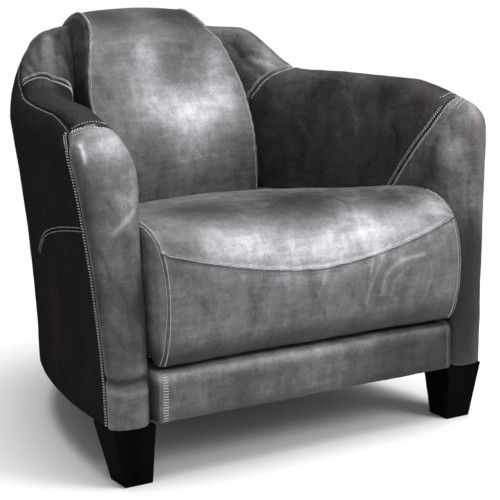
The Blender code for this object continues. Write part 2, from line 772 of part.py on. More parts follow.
def back_strap(name, x):
    """Webbing from the back of the rear seat rail up to the front of the top rail."""
    low_y = REAR_SEAT_RAIL_Y + SEAT_RAIL_THICK / 2 + GAP
    depth = BACK_RAIL_DEPTHS[0]
    edge = abs(x) + STRAP_WIDTH / 2
    reach = math.sqrt(1 - (edge / (INNER_A + depth)) ** 2)
    top_y = TUB_FRONT_Y + (INNER_B + depth) * reach - SEAM_GAP - STRAP_THICK
    route = ((low_y, STRAP_LOW_Z), (low_y, SEAT_RAIL_TOP_Z + STRAP_END_CLEAR),
             (top_y, BACK_RAIL_BOTTOM_Z + STRAP_END_CLEAR),
             (top_y, BACK_RAIL_TOP_Z - STRAP_END_CLEAR))
    half = STRAP_WIDTH / 2
    sections = [[Vector((x - half, y, z)), Vector((x + half, y, z)),
                 Vector((x + half, y + STRAP_THICK, z)), Vector((x - half, y + STRAP_THICK, z))]
                for y, z in route]
    return loft(name, sections, WEBBING, smooth=False)


def dust_cover(name, bolt_centres):
    """Black cloth under the frame, with a hole at each foot's bolt."""
    depth = PAD + BOARD
    outline = []
    start = math.asin((DUST_COVER_FRONT_Y - TUB_FRONT_Y) / (INNER_B + depth))
    for angle in straight(start, math.pi - start, 30):
        point = frame_point(angle, depth, 0.0, 1.0)
        outline.append((point.x, point.y))
    curve = bpy.data.curves.new(name, "CURVE")
    curve.dimensions = "2D"
    curve.fill_mode = "BOTH"
    curve.extrude = DUST_COVER_THICK / 2
    closed_path(curve, outline)
    radius = BOLT_RADIUS + 0.001
    for cx, cy in bolt_centres:
        closed_path(curve, [(cx + radius * math.cos(i * math.tau / 12),
                             cy + radius * math.sin(i * math.tau / 12)) for i in range(12)])
    obj = bpy.data.objects.new(name, curve)
    obj.location = (0.0, 0.0, FOOT_HEIGHT + GAP + DUST_COVER_THICK / 2)
    return place(obj, BLACK_CLOTH)


# Feet with their bolts

def foot(name, top_centre, bottom_centre):
    """Square block that tapers to the floor."""
    mesh = bpy.data.meshes.new(name)
    work = bmesh.new()
    bmesh.ops.create_cube(work, size=1.0)
    for corner in work.verts:
        top = corner.co.z > 0
        width = FOOT_TOP if top else FOOT_BOTTOM
        centre = top_centre if top else bottom_centre
        corner.co = Vector((corner.co.x * width + centre[0] - top_centre[0],
                            corner.co.y * width + centre[1] - top_centre[1],
                            FOOT_HEIGHT if top else 0.0))
    work.to_mesh(mesh)
    work.free()
    obj = bpy.data.objects.new(name, mesh)
    obj.location = (top_centre[0], top_centre[1], 0.0)
    place(obj, BLACK_WOOD)
    return bevel(obj, 0.0015, 1)


def foot_bolt(name, centre):
    """Headless bolt, half in the foot and half in the rail above it."""
    half = (BOLT_HIGH_Z - BOLT_LOW_Z) / 2
    mesh = bpy.data.meshes.new(name)
    work = bmesh.new()
    bmesh.ops.create_cone(work, cap_ends=True, segments=CIRCLE_SIDES, radius1=BOLT_RADIUS,
                          radius2=BOLT_RADIUS, depth=2 * half)
    work.to_mesh(mesh)
    work.free()
    obj = bpy.data.objects.new(name, mesh)
    obj.location = (centre[0], centre[1], BOLT_LOW_Z + half)
    place(obj, BOLT_STEEL)
    return bevel(obj, 0.0008, 1)


def feet_and_bolts(carriers):
    centres = []
    for side, hand in ((-1.0, "left"), (1.0, "right")):
        top = (side * FRONT_FOOT_TOP_CENTRE[0], FRONT_FOOT_TOP_CENTRE[1])
        bottom = (side * FRONT_FOOT_BOTTOM_CENTRE[0], FRONT_FOOT_BOTTOM_CENTRE[1])
        rear = (side * REAR_FOOT_CENTRE[0], REAR_FOOT_CENTRE[1])
        for place_name, above, below, rail in (
                ("front", top, bottom, carriers[hand]),
                ("rear", rear, rear, carriers["rear"])):
            leg = foot(place_name + "_foot_" + hand, above, below)
            foot_bolt(place_name + "_foot_bolt_" + hand, above)
            bore = cylinder_cutter("bore_" + place_name + "_" + hand, above,
                                   BOLT_RADIUS + BOLT_CLEAR, BOLT_LOW_Z - GAP,
                                   BOLT_HIGH_Z + GAP)
            cut(leg, bore)
            cut(rail, bore)
            centres.append(above)
    return centres


def build():
    for side, hand in ((-1.0, "left"), (1.0, "right")):
        arm_front("arm_front_" + hand, side)
        arm_pad("arm_pad_" + hand, side)
        wing("wing_" + hand, side)
        side_panel("side_panel_" + hand, side)
        back_corner_panel("back_corner_panel_" + hand, side)
    back_centre_panel("back_centre_panel")
    middle_cushion("middle_back_cushion")
    seat_cushion("seat_cushion")
    front_border("front_border")
    carriers = frame_pieces()
    for number, x in enumerate(SPRING_X, 1):
        sinuous_spring("seat_spring_%d" % number, x)
        for place_name, y in zip(("front", "rear"), spring_y_range()):
            spring_clip("spring_clip_%s_%d" % (place_name, number), x, y)
    for number, x in enumerate(STRAP_X, 1):
        back_strap("back_strap_%d" % number, x)
    deck_cloth("deck_cloth")
    dust_cover("dust_cover", feet_and_bolts(carriers))


clear_scene()
chair = new_collection("worn_club_chair")
cutters = new_collection("cutters")
build()
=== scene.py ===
"""Looks of the worn club chair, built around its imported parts. Metres, +Z up."""
import math

import bpy
import bmesh
import numpy as np
from mathutils import Euler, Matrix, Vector, noise
from mathutils.bvhtree import BVHTree


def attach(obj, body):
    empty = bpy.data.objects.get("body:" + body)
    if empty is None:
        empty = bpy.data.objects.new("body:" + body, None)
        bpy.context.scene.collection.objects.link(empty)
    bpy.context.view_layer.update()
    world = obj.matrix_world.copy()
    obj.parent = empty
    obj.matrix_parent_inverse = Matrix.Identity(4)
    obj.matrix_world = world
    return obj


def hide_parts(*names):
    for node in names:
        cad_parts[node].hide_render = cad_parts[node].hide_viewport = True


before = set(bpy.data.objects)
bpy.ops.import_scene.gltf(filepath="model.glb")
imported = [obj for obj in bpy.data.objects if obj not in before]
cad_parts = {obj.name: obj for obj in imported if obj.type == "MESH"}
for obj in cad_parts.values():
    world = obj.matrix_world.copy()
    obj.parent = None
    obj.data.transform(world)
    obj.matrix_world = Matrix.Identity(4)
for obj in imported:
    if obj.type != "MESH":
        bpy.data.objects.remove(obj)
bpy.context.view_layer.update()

# Camera, matched to the photograph
PHOTO_SIZE = 500
LENS = 113.83
SENSOR = 36.0
CAMERA_AT = Vector((-1.4666, -2.5025, 0.9126))
CAMERA_TURN = Euler((math.radians(90.0 - 12.215), 0.0, math.radians(-32.19)))

# Tub wall
TUB_FRONT_Y = -0.363
INNER_A = 0.3005
INNER_B = 0.649
WALL_BOTTOM_Z = 0.1010
FLARE_START_Z = 0.1024
BOTTOM_HALF_WIDTH = 0.378
SIDE_FLARE = 0.041
WIDEST_Z = 0.543
TOP_DRAW_IN = 2.2
BACK_EXTRA = 0.345
ARM_TOP_Z = 0.603
NOSE_DROP = 0.034
NOSE_ANGLE = math.radians(14.5)
FIRST_ANGLE = math.radians(39)
INNER_ROUND = 0.115
OUTER_ROUND = 0.055
RIDGE_SHARE = 0.52
# For each side: start and end in degrees, crest, outer round, rise, drop of the top seam
WING_FORMS = {-1.0: (33.5, 44.5, 0.70, 0.024, 0.088, 0.016),
              1.0: (39, 54, 0.66, 0.050, 0.077, 0.0)}
FRONT_RAKE = 0.044
FRONT_RAKE_HEIGHT = 0.440
FRONT_EDGE = 0.030
TIP_EDGE = 0.010
OUTER_EDGE = 0.008
INNER_EDGE_TOP_Z = 0.53
INNER_EDGE_FADE = 0.13
OUTER_EDGE_LOW_Z = 0.50
OUTER_EDGE_FADE = 0.05
FRONT_SWELL = 0.011
# Front seams: height, and distance behind the tub's front
FRONT_SEAM_INSIDE = ((0.200, 0.060), (0.240, 0.160), (0.300, 0.2617), (0.400, 0.172),
                     (0.433, 0.149), (0.465, 0.124), (0.500, 0.0965), (0.527, 0.0765),
                     (0.555, 0.0655), (0.585, 0.064))
FRONT_SEAM_OUTSIDE = ((0.100, 0.020), (0.232, 0.025), (0.340, 0.032), (0.416, 0.039),
                      (0.497, 0.050), (0.530, 0.056), (0.550, 0.068), (0.566, 0.092),
                      (0.572, 0.096), (0.578, 0.086), (0.585, 0.066))
PAD_BOTTOM_Z = 0.200
TOP_SEAM_DROP = 0.012
TOP_SEAM_SPAN = (7.4, 75.0)
BACK_SEAM = math.radians(52)
SEAM_SLIT = math.radians(0.05)
FACING_WELD = 4e-4
SETTLE_TURNS = 60
SETTLE_SHARE = 0.25
# Wing seams: height, and degrees round the tub
WING_SEAMS = {-1.0: ((0.200, 52), (0.480, 52), (0.571, 50), (0.590, 45), (0.600, 41.5),
                     (0.613, 38.2), (0.618, 37.0)),
              1.0: ((0.200, 52), (0.480, 52), (0.551, 50), (0.559, 49.2), (0.580, 47.2),
                    (0.595, 45), (0.603, 43), (0.607, 41))}

# Middle cushion and seat
SPINE_HALF = 0.172
SPINE_TOP_HALF = 0.121
SPINE_WAIST_Z = 0.560
SPINE_TOP_Z = 0.722
SPINE_HOOK_Z = 0.6404
SPINE_TOP_CROWN = 0.009
SPINE_CROWN = 0.007
SPINE_TOP_HOLLOW = 0.002
SPINE_ROLL_START_Y = 0.200
SPINE_SEAM_REACH = 0.194
SPINE_EDGE = 0.010
SPINE_FRONT = ((0.066, 0.366), (0.069, 0.430), (0.083, 0.500), (0.110, 0.556),
               (0.138, 0.610), (0.163, 0.660), (0.196, 0.697), (0.244, 0.717),
               (0.284, SPINE_TOP_Z), (0.324, 0.708), (0.362, 0.677), (0.387, 0.648))
SPINE_REST = ((0.393, SPINE_HOOK_Z), (0.320, SPINE_HOOK_Z), (0.258, SPINE_HOOK_Z),
              (0.248, 0.620), (0.242, 0.560), (0.237, 0.480), (0.232, 0.366))
SEAT_FRONT = ((-0.340, 0.2068), (-0.368, 0.1945), (-0.385, 0.215), (-0.397, 0.262),
              (-0.400, 0.305), (-0.394, 0.345), (-0.380, 0.378), (-0.352, 0.405),
              (-0.300, 0.420), (-0.200, 0.425), (-0.100, 0.414), (0.000, 0.396))
SEAT_BACK_Y = 0.060
SEAT_EAR_Y = 0.112
SEAT_TOP_BACK_Z = 0.384
SEAT_BOTTOM_Z = 0.2068
SEAT_EDGE = 0.010
SEAT_CROWN = 0.003
SEAT_CLEAR = 0.001
SEAT_EAR_START = 0.76
SEAT_EAR_FADE = 0.05
SEAT_SINK = 0.007
SEAT_SIDE_SINK = 0.015
SEAT_SEAM_LOW_Z = 0.3267
SEAT_SEAM_RISE = 0.0544
SEAT_SEAM_HALF = 0.297
SEAT_CORNER_X = 0.293
# Painted shade low on the seat's front where it rolls under: its top height and fade
SEAT_SHADE_TOP_Z = 0.246
SEAT_SHADE_FADE = 0.040
BORDER_STITCH_X = 0.288
BORDER_CLEAR = 0.0012
BORDER_FRONT_Y = -0.376
BORDER_BACK_Y = -0.3215
BORDER_TOP_Z = 0.186
BORDER_BOTTOM_Z = 0.1018

MM = 0.001
LEATHER_THICK = 0.0025
COVER_SLACK = 0.005
COVER_FOLD = 0.0006
COVER_THICK = 0.0010
THREAD_RADIUS = 0.00075
STITCH_LENGTH = 0.0027
STITCH_PITCH = 0.0046
STITCH_OFFSETS = ((0.0026, 0.0044), (0.0058, 0.0080))
PANEL_ROW_OFFSET = 0.0030
TOP_ROW_OFFSET = 0.0045
ROW_LOW_Z = 0.36
PAD_ROW_TOP_Z = 0.566
PANEL_ROW_TOP_Z = 0.570
CREST_ROW_LOW_Z = 0.573
WING_ROW_LOW_Z = 0.545


# Surface of the tub wall, on whole arrays of angles and heights

def smooth(value):
    value = np.clip(value, 0.0, 1.0)
    return value * value * (3 - 2 * value)


def outer_half_width(z):
    lean = np.clip((z - FLARE_START_Z) / (WIDEST_Z - FLARE_START_Z), 0.0, 1.0)
    above = np.clip(z - WIDEST_Z, 0.0, None)
    return BOTTOM_HALF_WIDTH + SIDE_FLARE * lean ** 1.6 - TOP_DRAW_IN * above ** 2


class Wing:
    """The form of the wing being built: the worn wings differ."""


def choose_wing(side):
    start, end, Wing.crest, Wing.outer_round, Wing.rise, Wing.drop = WING_FORMS[side]
    Wing.seam = WING_SEAMS[side]
    Wing.start, Wing.end = math.radians(start), math.radians(end)


def wing_climb(angle):
    return smooth((angle - Wing.start) / (Wing.end - Wing.start))


def outer_round(angle):
    return OUTER_ROUND + (Wing.outer_round - OUTER_ROUND) * wing_climb(angle)


def ridge_height(angle):
    nose = NOSE_DROP * (1 - smooth(angle / NOSE_ANGLE))
    return ARM_TOP_Z + Wing.rise * wing_climb(angle) - nose


def half_axes(angle, z, outside):
    drop = np.where(outside, outer_round(angle), INNER_ROUND)
    climb = np.clip((z - ridge_height(angle) + drop) / drop, 0.0, 1.0)
    pull = 1 - np.sqrt(1 - climb * climb)
    crest = RIDGE_SHARE + (Wing.crest - RIDGE_SHARE) * wing_climb(angle)
    share = np.where(outside, 1 - (1 - crest) * pull, crest * pull)
    outer = outer_half_width(z)
    return (INNER_A + (outer - INNER_A) * share,
            INNER_B + (outer + BACK_EXTRA - INNER_B) * share)


def wall_points(angle, z, outside, side):
    a, b = half_axes(angle, z, outside)
    return np.stack([side * a * np.cos(angle), TUB_FRONT_Y + b * np.sin(angle), z], axis=-1)


def angle_at_y(y, angle, z, outside):
    return np.arcsin(np.clip((y - TUB_FRONT_Y) / half_axes(angle, z, outside)[1], -1, 1))


def angle_at_x(x, angle, z, outside):
    return np.arccos(np.clip(x / half_axes(angle, z, outside)[0], -1, 1))


def front_line(z):
    lean = np.clip((z - FLARE_START_Z) / FRONT_RAKE_HEIGHT, 0.0, None)
    return TUB_FRONT_Y + FRONT_RAKE * lean ** 1.5


def front_seam_y(z, outside):
    inner = np.interp(z, *zip(*FRONT_SEAM_INSIDE))
    outer = np.interp(z, *zip(*FRONT_SEAM_OUTSIDE))
    return TUB_FRONT_Y + np.where(outside, outer, inner)


def front_seam_angle(angle, z, outside):
    return angle_at_y(front_seam_y(z, outside), angle, z, outside)


def wing_seam_angle(z, outside):
    inner = np.interp(z, *zip(*Wing.seam))
    return np.radians(np.where(outside, Wing.seam[-1][1], inner))


def top_seam_drop(angle):
    return TOP_SEAM_DROP + Wing.drop * wing_climb(angle)


def spine_half(z):
    part = np.clip((z - SPINE_WAIST_Z) / (SPINE_TOP_Z - SPINE_WAIST_Z), 0.0, 1.0)
    return SPINE_HALF + (SPINE_TOP_HALF - SPINE_HALF) * part ** 1.4


def back_curve(x):
    outer = outer_half_width(ARM_TOP_Z)
    return (outer + BACK_EXTRA) * (1 - np.sqrt(1 - (x / outer) ** 2))


# Heights across a cover are low * a + ridge * b + INNER_ROUND * c + seam drop * d

def over_shares(straight_count, inner_count, outer_count):
    """From the inside bottom over the ridge to the outside seam."""
    up = np.linspace(0.0, 1.0, straight_count, endpoint=False)
    bend = 1 - np.sin(np.linspace(0.0, math.pi / 2, inner_count))
    fall = 1 - np.cos(np.linspace(0.0, math.pi / 2, outer_count)[1:])
    a = np.concatenate([1 - up, 0 * bend, 0 * fall])
    c = np.concatenate([-up, -bend, 0 * fall])
    d = np.concatenate([0 * up, 0 * bend, -fall])
    return a, 1 - a, c, d, np.arange(len(a)) >= straight_count + inner_count


def outside_shares(count):
    """From the top seam down the outside to the bottom."""
    down = np.linspace(0.0, 1.0, count) ** 1.5
    return down, 1 - down, 0 * down, down - 1, np.ones(count, bool)


def facing_shares(straight_count, inner_count):
    """Up the inside, over the ridge and down the outside to the bottom."""
    a, b, c, d, _ = over_shares(straight_count, inner_count, 1)
    a, b, c, d = [np.concatenate([side, side[-2::-1]]) for side in (a, b, c, d)]
    return a, b, c, d, np.arange(len(a)) > len(a) // 2


def cover_grid(shares, span, rows, low, side):
    """Points of a cover between two seams."""
    a, b, c, d, outside = shares
    part = np.linspace(0.0, 1.0, rows)[:, None]
    angle = np.full((rows, len(a)), FIRST_ANGLE)
    outside = np.broadcast_to(outside, angle.shape)
    for _ in range(SETTLE_TURNS):
        z = low * a + ridge_height(angle) * b + INNER_ROUND * c + top_seam_drop(angle) * d
        first, last = span(angle, z, outside)
        angle = angle + (first + (last - first) * part - angle) * SETTLE_SHARE
    return wall_points(angle, z, outside, side)


# Making pieces

def grid_faces(rows, columns, ring=False, flip=False):
    row = np.arange(rows - 1)[:, None]
    column = np.arange(columns if ring else columns - 1)[None, :]
    after = (column + 1) % columns
    quads = np.stack([row * columns + column, row * columns + after,
                      (row + 1) * columns + after, (row + 1) * columns + column], -1)
    quads = quads.reshape(-1, 4)
    return (quads[:, ::-1] if flip else quads).tolist()


def smooth_object(name, mesh):
    mesh.shade_smooth()
    obj = bpy.data.objects.new(name, mesh)
    bpy.context.scene.collection.objects.link(obj)
    return obj


def new_piece(name, points, faces, weld=1e-5):
    mesh = bpy.data.meshes.new(name)
    mesh.from_pydata(points.reshape(-1, 3).tolist(), [], faces)
    work = bmesh.new()
    work.from_mesh(mesh)
    bmesh.ops.remove_doubles(work, verts=work.verts, dist=weld)
    bmesh.ops.dissolve_degenerate(work, edges=work.edges, dist=weld)
    work.to_mesh(mesh)
    work.free()
    return smooth_object(name, mesh)


def finish_piece(obj, node, material):
    """Put a made piece in place of its part."""
    obj.data.materials.append(material)
    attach(obj, "root")
    if node:
        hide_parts(node)
    return obj


def thicken(obj, thickness=LEATHER_THICK):
    skin = obj.modifiers.new("thickness", "SOLIDIFY")
    skin.thickness = thickness
    skin.offset = -1.0


def move_points(obj, points):
    obj.data.vertices.foreach_set("co", points.ravel())
    obj.data.update()
    return obj


def vertex_places(obj):
    count = len(obj.data.vertices)
    points = np.empty(count * 3)
    normals = np.empty(count * 3)
    obj.data.vertices.foreach_get("co", points)
    obj.data.vertex_normals.foreach_get("vector", normals)
    return points.reshape(-1, 3), normals.reshape(-1, 3)


def tree_of(obj):
    mesh = obj.data
    return BVHTree.FromPolygons([v.co for v in mesh.vertices],
                                [p.vertices for p in mesh.polygons])


def photo_ray(x, y):
    """Where the camera looks through a place in the photograph."""
    scale = SENSOR / (LENS * PHOTO_SIZE)
    half = PHOTO_SIZE / 2
    ahead = Vector(((x - half) * scale, (half - y) * scale, -1.0))
    ahead.rotate(CAMERA_TURN)
    return CAMERA_AT, ahead.normalized()


def curve_through(marks, step):
    """Evenly filled points on a smooth curve through the marks."""
    marks = np.reshape(marks, (-1, 2)).astype(float)
    padded = np.vstack([2 * marks[0] - marks[1], marks, 2 * marks[-1] - marks[-2]])
    points = []
    for p0, p1, p2, p3 in zip(padded, padded[1:], padded[2:], padded[3:]):
        count = max(2, int(np.linalg.norm(p2 - p1) / step))
        for t in np.linspace(0.0, 1.0, count, endpoint=False):
            points.append(0.5 * (2 * p1 + (p2 - p0) * t + (2 * p0 - 5 * p1 + 4 * p2 - p3) * t * t
                                 + (3 * p1 - p0 - 3 * p2 + p3) * t ** 3))
    return np.array(points + [marks[-1]])


def met(hits):
    """The places of all hits that met something."""
    return np.array([tuple(hit) for hit in hits if hit])


def traced(tree, marks):
    """A line that follows the photograph's marks over a piece."""
    return met(tree.ray_cast(*photo_ray(x, y))[0] for x, y in curve_through(marks, 1.5))


def traced_from_left(name, marks, side):
    """Marks traced over the left one of two pieces, mirrored for the right one."""
    piece = bpy.data.objects[name + "_left"]
    return traced(tree_of(piece), marks) * np.array((-side, 1.0, 1.0))


def seen_from_front(tree, places):
    """Where straight looks from the front, at (x, z), meet a piece."""
    return met(tree.ray_cast(Vector((x, -0.6, z)), Vector((0, 1, 0)))[0] for x, z in places)


def nearness(points, line, width):
    """1 on a line, fading to 0 away from it."""
    best = np.full(len(points), 1.0)
    for place in line:
        np.minimum(best, ((points - place) ** 2).sum(1), out=best)
    return np.exp(-best / (width * width))


def shape_piece(obj, tone, presses=(), creases=(), patches=(), browns=(), ripple=0.0012,
                ripple_size=14.0):
    """Press seams and creases into a piece and store how light and how brown it is.

    presses: (line in space, depth, width, tone); creases, patches and browns are marks read
    off the photograph. Depths, widths and radii are in millimetres. The tones of presses, creases
    and patches are painted light and shade along with wear: lighter marks paint highlights, darker
    ones shade.
    off the photograph. Depths, widths and radii are in millimetres.
    """
    tree = tree_of(obj)
    points, normals = vertex_places(obj)
    tones = np.full(len(points), tone)
    brown = np.zeros(len(points))
    offset = np.array([noise.fractal(Vector(p) * ripple_size, 1.0, 2.0, 3) for p in points])
    offset *= ripple
    for line, depth, width, light in [*presses, *[(traced(tree, marks), *press)
                                                  for marks, *press in creases]]:
        near = nearness(points, line, width * MM)
        offset -= depth * MM * near
        tones += light * near
    for values, spots in ((tones, patches), (brown, browns)):
        for x, y, radius, amount in spots:
            hit = tree.ray_cast(*photo_ray(x, y))[0]
            if hit:
                values += amount * nearness(points, [np.array(hit)], radius * MM)
    store(obj, "tone", tones)
    store(obj, "brown", brown)
    return move_points(obj, points + normals * offset[:, None])


def store(obj, name, values):
    layer = obj.data.attributes.get(name) or obj.data.attributes.new(name, "FLOAT", "POINT")
    layer.data.foreach_set("value", values.astype(np.float32))


def tint(obj, change):
    """Make the stored tones lighter or darker."""
    tones = np.empty(len(obj.data.vertices), np.float32)
    obj.data.attributes["tone"].data.foreach_get("value", tones)
    store(obj, "tone", tones + change)


def paint_side_shading(obj, amount, start):
    """Painted shade on faces that turn sideways, stronger the further they turn; a negative amount
    paints light on them instead.
    """
    _, normals = vertex_places(obj)
    tint(obj, -amount * smooth((np.abs(normals[:, 0]) - start) / (1 - start)))


# Materials

def feed(node, inputs):
    """Link a node's inputs, or set them where a plain value is given."""
    for key, value in inputs.items():
        if isinstance(value, bpy.types.NodeSocket):
            node.id_data.links.new(value, node.inputs[key])
        else:
            node.inputs[key].default_value = value
    return node


def add_node(tree, kind, inputs=(), **values):
    """A node with its settings and inputs set."""
    node = tree.nodes.new(kind)
    for key, value in values.items():
        setattr(node, key, value)
    return feed(node, dict(inputs))


def blend_of(tree, *sources, operation="MULTIPLY"):
    node = add_node(tree, "ShaderNodeMath", enumerate(sources), operation=operation)
    return node.outputs[0]


def ramp_of(tree, source, stops):
    node = add_node(tree, "ShaderNodeValToRGB", {"Fac": source})
    ramp = node.color_ramp
    while len(ramp.elements) < len(stops):
        ramp.elements.new(0.5)
    for element, (place, colour) in zip(ramp.elements, stops):
        element.position = place
        element.color = (*colour, 1.0)
    return node.outputs["Color"]


def noise_of(tree, place, size, scale=(1, 1, 1), detail=6.0, rough=0.6, distort=0.0):
    mapped = add_node(tree, "ShaderNodeMapping", {"Vector": place, "Scale": scale}).outputs[0]
    return add_node(tree, "ShaderNodeTexNoise", {
        "Vector": mapped, "Scale": size, "Detail": detail, "Roughness": rough,
        "Distortion": distort}).outputs["Fac"]


def cells_of(tree, place, size, feature):
    return add_node(tree, "ShaderNodeTexVoronoi", {"Vector": place, "Scale": size},
                    feature=feature).outputs["Distance"]


def relief_of(tree, *layers):
    """Bumps laid over each other, each one (height, strength, distance)."""
    below = {}
    for height, strength, distance in layers:
        node = add_node(tree, "ShaderNodeBump", {
            "Height": height, "Strength": strength, "Distance": distance, **below})
        below = {"Normal": node.outputs[0]}
    return node.outputs[0]


def range_of(tree, source, span, to, **values):
    """Bring a value from one span to another."""
    ends = zip(("From Min", "From Max", "To Min", "To Max"), (*span, *to))
    return add_node(tree, "ShaderNodeMapRange", {"Value": source, **dict(ends)},
                    **values).outputs[0]


def new_material(name):
    material = bpy.data.materials.new(name)
    material.use_nodes = True
    tree = material.node_tree
    place = tree.nodes.new("ShaderNodeTexCoord").outputs["Object"]
    return material, tree, tree.nodes["Principled BSDF"], place


# Colour sockets of the mix node
COLOUR_A, COLOUR_B, MIXED_COLOUR = 6, 7, 2
LEATHER_STOPS = ((0.0, (0.0035, 0.0035, 0.0040)), (0.25, (0.016, 0.0155, 0.016)),
                 (0.45, (0.055, 0.055, 0.058)), (0.62, (0.135, 0.136, 0.142)),
                 (0.80, (0.300, 0.302, 0.312)), (1.0, (0.620, 0.625, 0.640)))
WARM_STOPS = ((0.0, (0.010, 0.005, 0.003)), (0.4, (0.060, 0.034, 0.024)),
              (0.8, (0.300, 0.210, 0.180)))


def leather(name, contrast, shine):
    """Old distressed hide: cloudy wipes, brushed streaks, fine grain and cracks."""
    material, tree, shader, place = new_material(name)
    tone = add_node(tree, "ShaderNodeAttribute", attribute_name="tone").outputs["Fac"]
    brown = add_node(tree, "ShaderNodeAttribute", attribute_name="brown").outputs["Fac"]
    clouds = noise_of(tree, place, 8.0, detail=8.0, rough=0.62, distort=0.8)
    blots = noise_of(tree, place, 34.0, detail=6.0, rough=0.66, distort=0.5)
    streaks = noise_of(tree, place, 60.0, (1.0, 1.0, 0.22), detail=5.0)
    strokes = noise_of(tree, place, 66.0, (0.30, 0.30, 1.5), detail=5.0)
    fine = noise_of(tree, place, 480.0, detail=3.0)
    cracks = cells_of(tree, place, 150.0, "DISTANCE_TO_EDGE")
    crack = blend_of(tree, blend_of(tree, cracks, 9.0), 1.0, operation="MINIMUM")
    value = blend_of(tree, clouds, 0.36)
    for source, amount in ((blots, 0.30), (streaks, 0.24), (strokes, 0.22), (fine, 0.10)):
        value = blend_of(tree, source, amount, value, operation="MULTIPLY_ADD")
    value = blend_of(tree, value, 0.61, operation="SUBTRACT")
    value = blend_of(tree, value, contrast, tone, operation="MULTIPLY_ADD")
    value = blend_of(tree, crack, 0.05, value, operation="MULTIPLY_ADD")
    grey = ramp_of(tree, value, LEATHER_STOPS)
    warm = ramp_of(tree, value, WARM_STOPS)
    mix = add_node(tree, "ShaderNodeMix", data_type="RGBA")
    feed(mix, {"Factor": brown, COLOUR_A: grey, COLOUR_B: warm})
    pebble = cells_of(tree, place, 620.0, "SMOOTH_F1")
    folds = noise_of(tree, place, 85.0, (1.0, 1.0, 0.5), distort=1.0)
    feed(shader, {"Base Color": mix.outputs[MIXED_COLOUR], "Specular IOR Level": shine,
                  "Roughness": range_of(tree, blots, (0.3, 0.7), (0.36, 0.56)),
                  "Normal": relief_of(tree, (folds, 0.55, 0.0022), (pebble, 0.35, 0.0004),
                                      (crack, 0.25, 0.0004))})
    return material


def plain_stuff(name, dark, light, size, rough, bump, scale=(1, 1, 1), metallic=0.0, shine=0.5):
    """Timber, cloth, thread or steel: two colours through streaked noise."""
    material, tree, shader, place = new_material(name)
    streak = noise_of(tree, place, size, scale, distort=0.3)
    speck = noise_of(tree, place, size * 6, detail=3.0)
    value = blend_of(tree, speck, 0.3, blend_of(tree, streak, 0.7), operation="MULTIPLY_ADD")
    feed(shader, {"Base Color": ramp_of(tree, value, ((0.35, dark), (0.65, light))),
                  "Roughness": range_of(tree, speck, (0.0, 1.0), (rough - 0.08, rough + 0.08)),
                  "Metallic": metallic, "Specular IOR Level": shine,
                  "Normal": relief_of(tree, (value, 0.4, bump))})
    return material


LEATHER_GREY = leather("leather_grey", 0.95, 0.30)
LEATHER_DARK = leather("leather_dark", 0.75, 0.12)
LEATHER_SIDE = leather("leather_side", 0.50, 0.0)
THREAD = plain_stuff("thread", (0.38, 0.38, 0.37), (0.68, 0.68, 0.67), 300.0, 0.7, 0.0002)
DARK_THREAD = plain_stuff("dark_thread", (0.10, 0.10, 0.105), (0.30, 0.30, 0.31), 300.0, 0.7,
                          0.0002)
BLACK_WOOD = plain_stuff("black_wood", (0.0010, 0.0010, 0.0010), (0.0035, 0.0033, 0.0033), 30.0,
                         0.6, 0.0005, (1, 1, 0.12), shine=0.01)
FRAME_WOOD = plain_stuff("frame_wood", (0.30, 0.18, 0.09), (0.50, 0.33, 0.18), 26.0, 0.7,
                         0.0008, (1, 0.25, 1))
STEEL = plain_stuff("spring_steel", (0.20, 0.20, 0.21), (0.38, 0.38, 0.39), 90.0, 0.4, 0.0001,
                    metallic=1.0)
BOLT = plain_stuff("bolt_steel", (0.38, 0.37, 0.34), (0.56, 0.55, 0.52), 120.0, 0.35, 0.0001,
                   metallic=1.0)
WEBBING = plain_stuff("webbing", (0.20, 0.15, 0.09), (0.38, 0.30, 0.19), 260.0, 0.9, 0.0008,
                      (1, 1, 0.3))
DECK_CLOTH = plain_stuff("deck_cloth", (0.32, 0.29, 0.23), (0.46, 0.43, 0.36), 200.0, 0.92,
                         0.0006)
BLACK_CLOTH = plain_stuff("black_cloth", (0.008, 0.008, 0.009), (0.020, 0.020, 0.022), 320.0,
                          0.92, 0.0005, (1, 0.3, 1))


# Seam lines in space

def seam_over(angle_of, side, low=FLARE_START_Z, out_low=FLARE_START_Z):
    """The line of a seam that climbs the inside, crosses the ridge and falls outside."""
    angle = np.array([math.radians(10)])
    for _ in range(SETTLE_TURNS):
        ridge = float(ridge_height(angle)[0])
        goal = angle_of(np.array([ridge]), np.array([False]), angle)
        angle = angle + (goal - angle) * SETTLE_SHARE
    rise = np.linspace(0.0, math.pi / 2, 60)
    inside_z = np.concatenate([np.linspace(low, ridge - INNER_ROUND, 80)[:-1],
                               ridge - INNER_ROUND * (1 - np.sin(rise))])
    fall = np.linspace(math.pi / 2, 0.0, 40)[1:]
    outside_z = ridge - OUTER_ROUND * (1 - np.sin(fall))
    if out_low < ridge - OUTER_ROUND:
        outside_z = np.concatenate([outside_z, np.linspace(ridge - OUTER_ROUND, out_low, 90)[1:]])
    else:
        outside_z = outside_z[outside_z >= out_low]
    z = np.concatenate([inside_z, outside_z])
    outside = np.arange(len(z)) >= len(inside_z)
    angles = np.full(len(z), float(angle[0]))
    for _ in range(8):
        angles = angle_of(z, outside, angles)
    return wall_points(angles, z, outside, side), outside


def front_seam_line(side):
    return seam_over(lambda z, out, a: front_seam_angle(a, z, out), side)


def wing_seam_line(side):
    crossing = np.radians(np.array([Wing.seam[-1][1]]))
    top = float((ridge_height(crossing) - top_seam_drop(crossing))[0])
    return seam_over(lambda z, out, a: wing_seam_angle(z, out), side, PAD_BOTTOM_Z, top)


def top_seam_line(side):
    """Along the outer edge of the arm and wing, just under the ridge."""
    angle = np.radians(np.linspace(*TOP_SEAM_SPAN, 240))
    z = ridge_height(angle) - top_seam_drop(angle)
    return wall_points(angle, z, np.ones(len(z), bool), side)


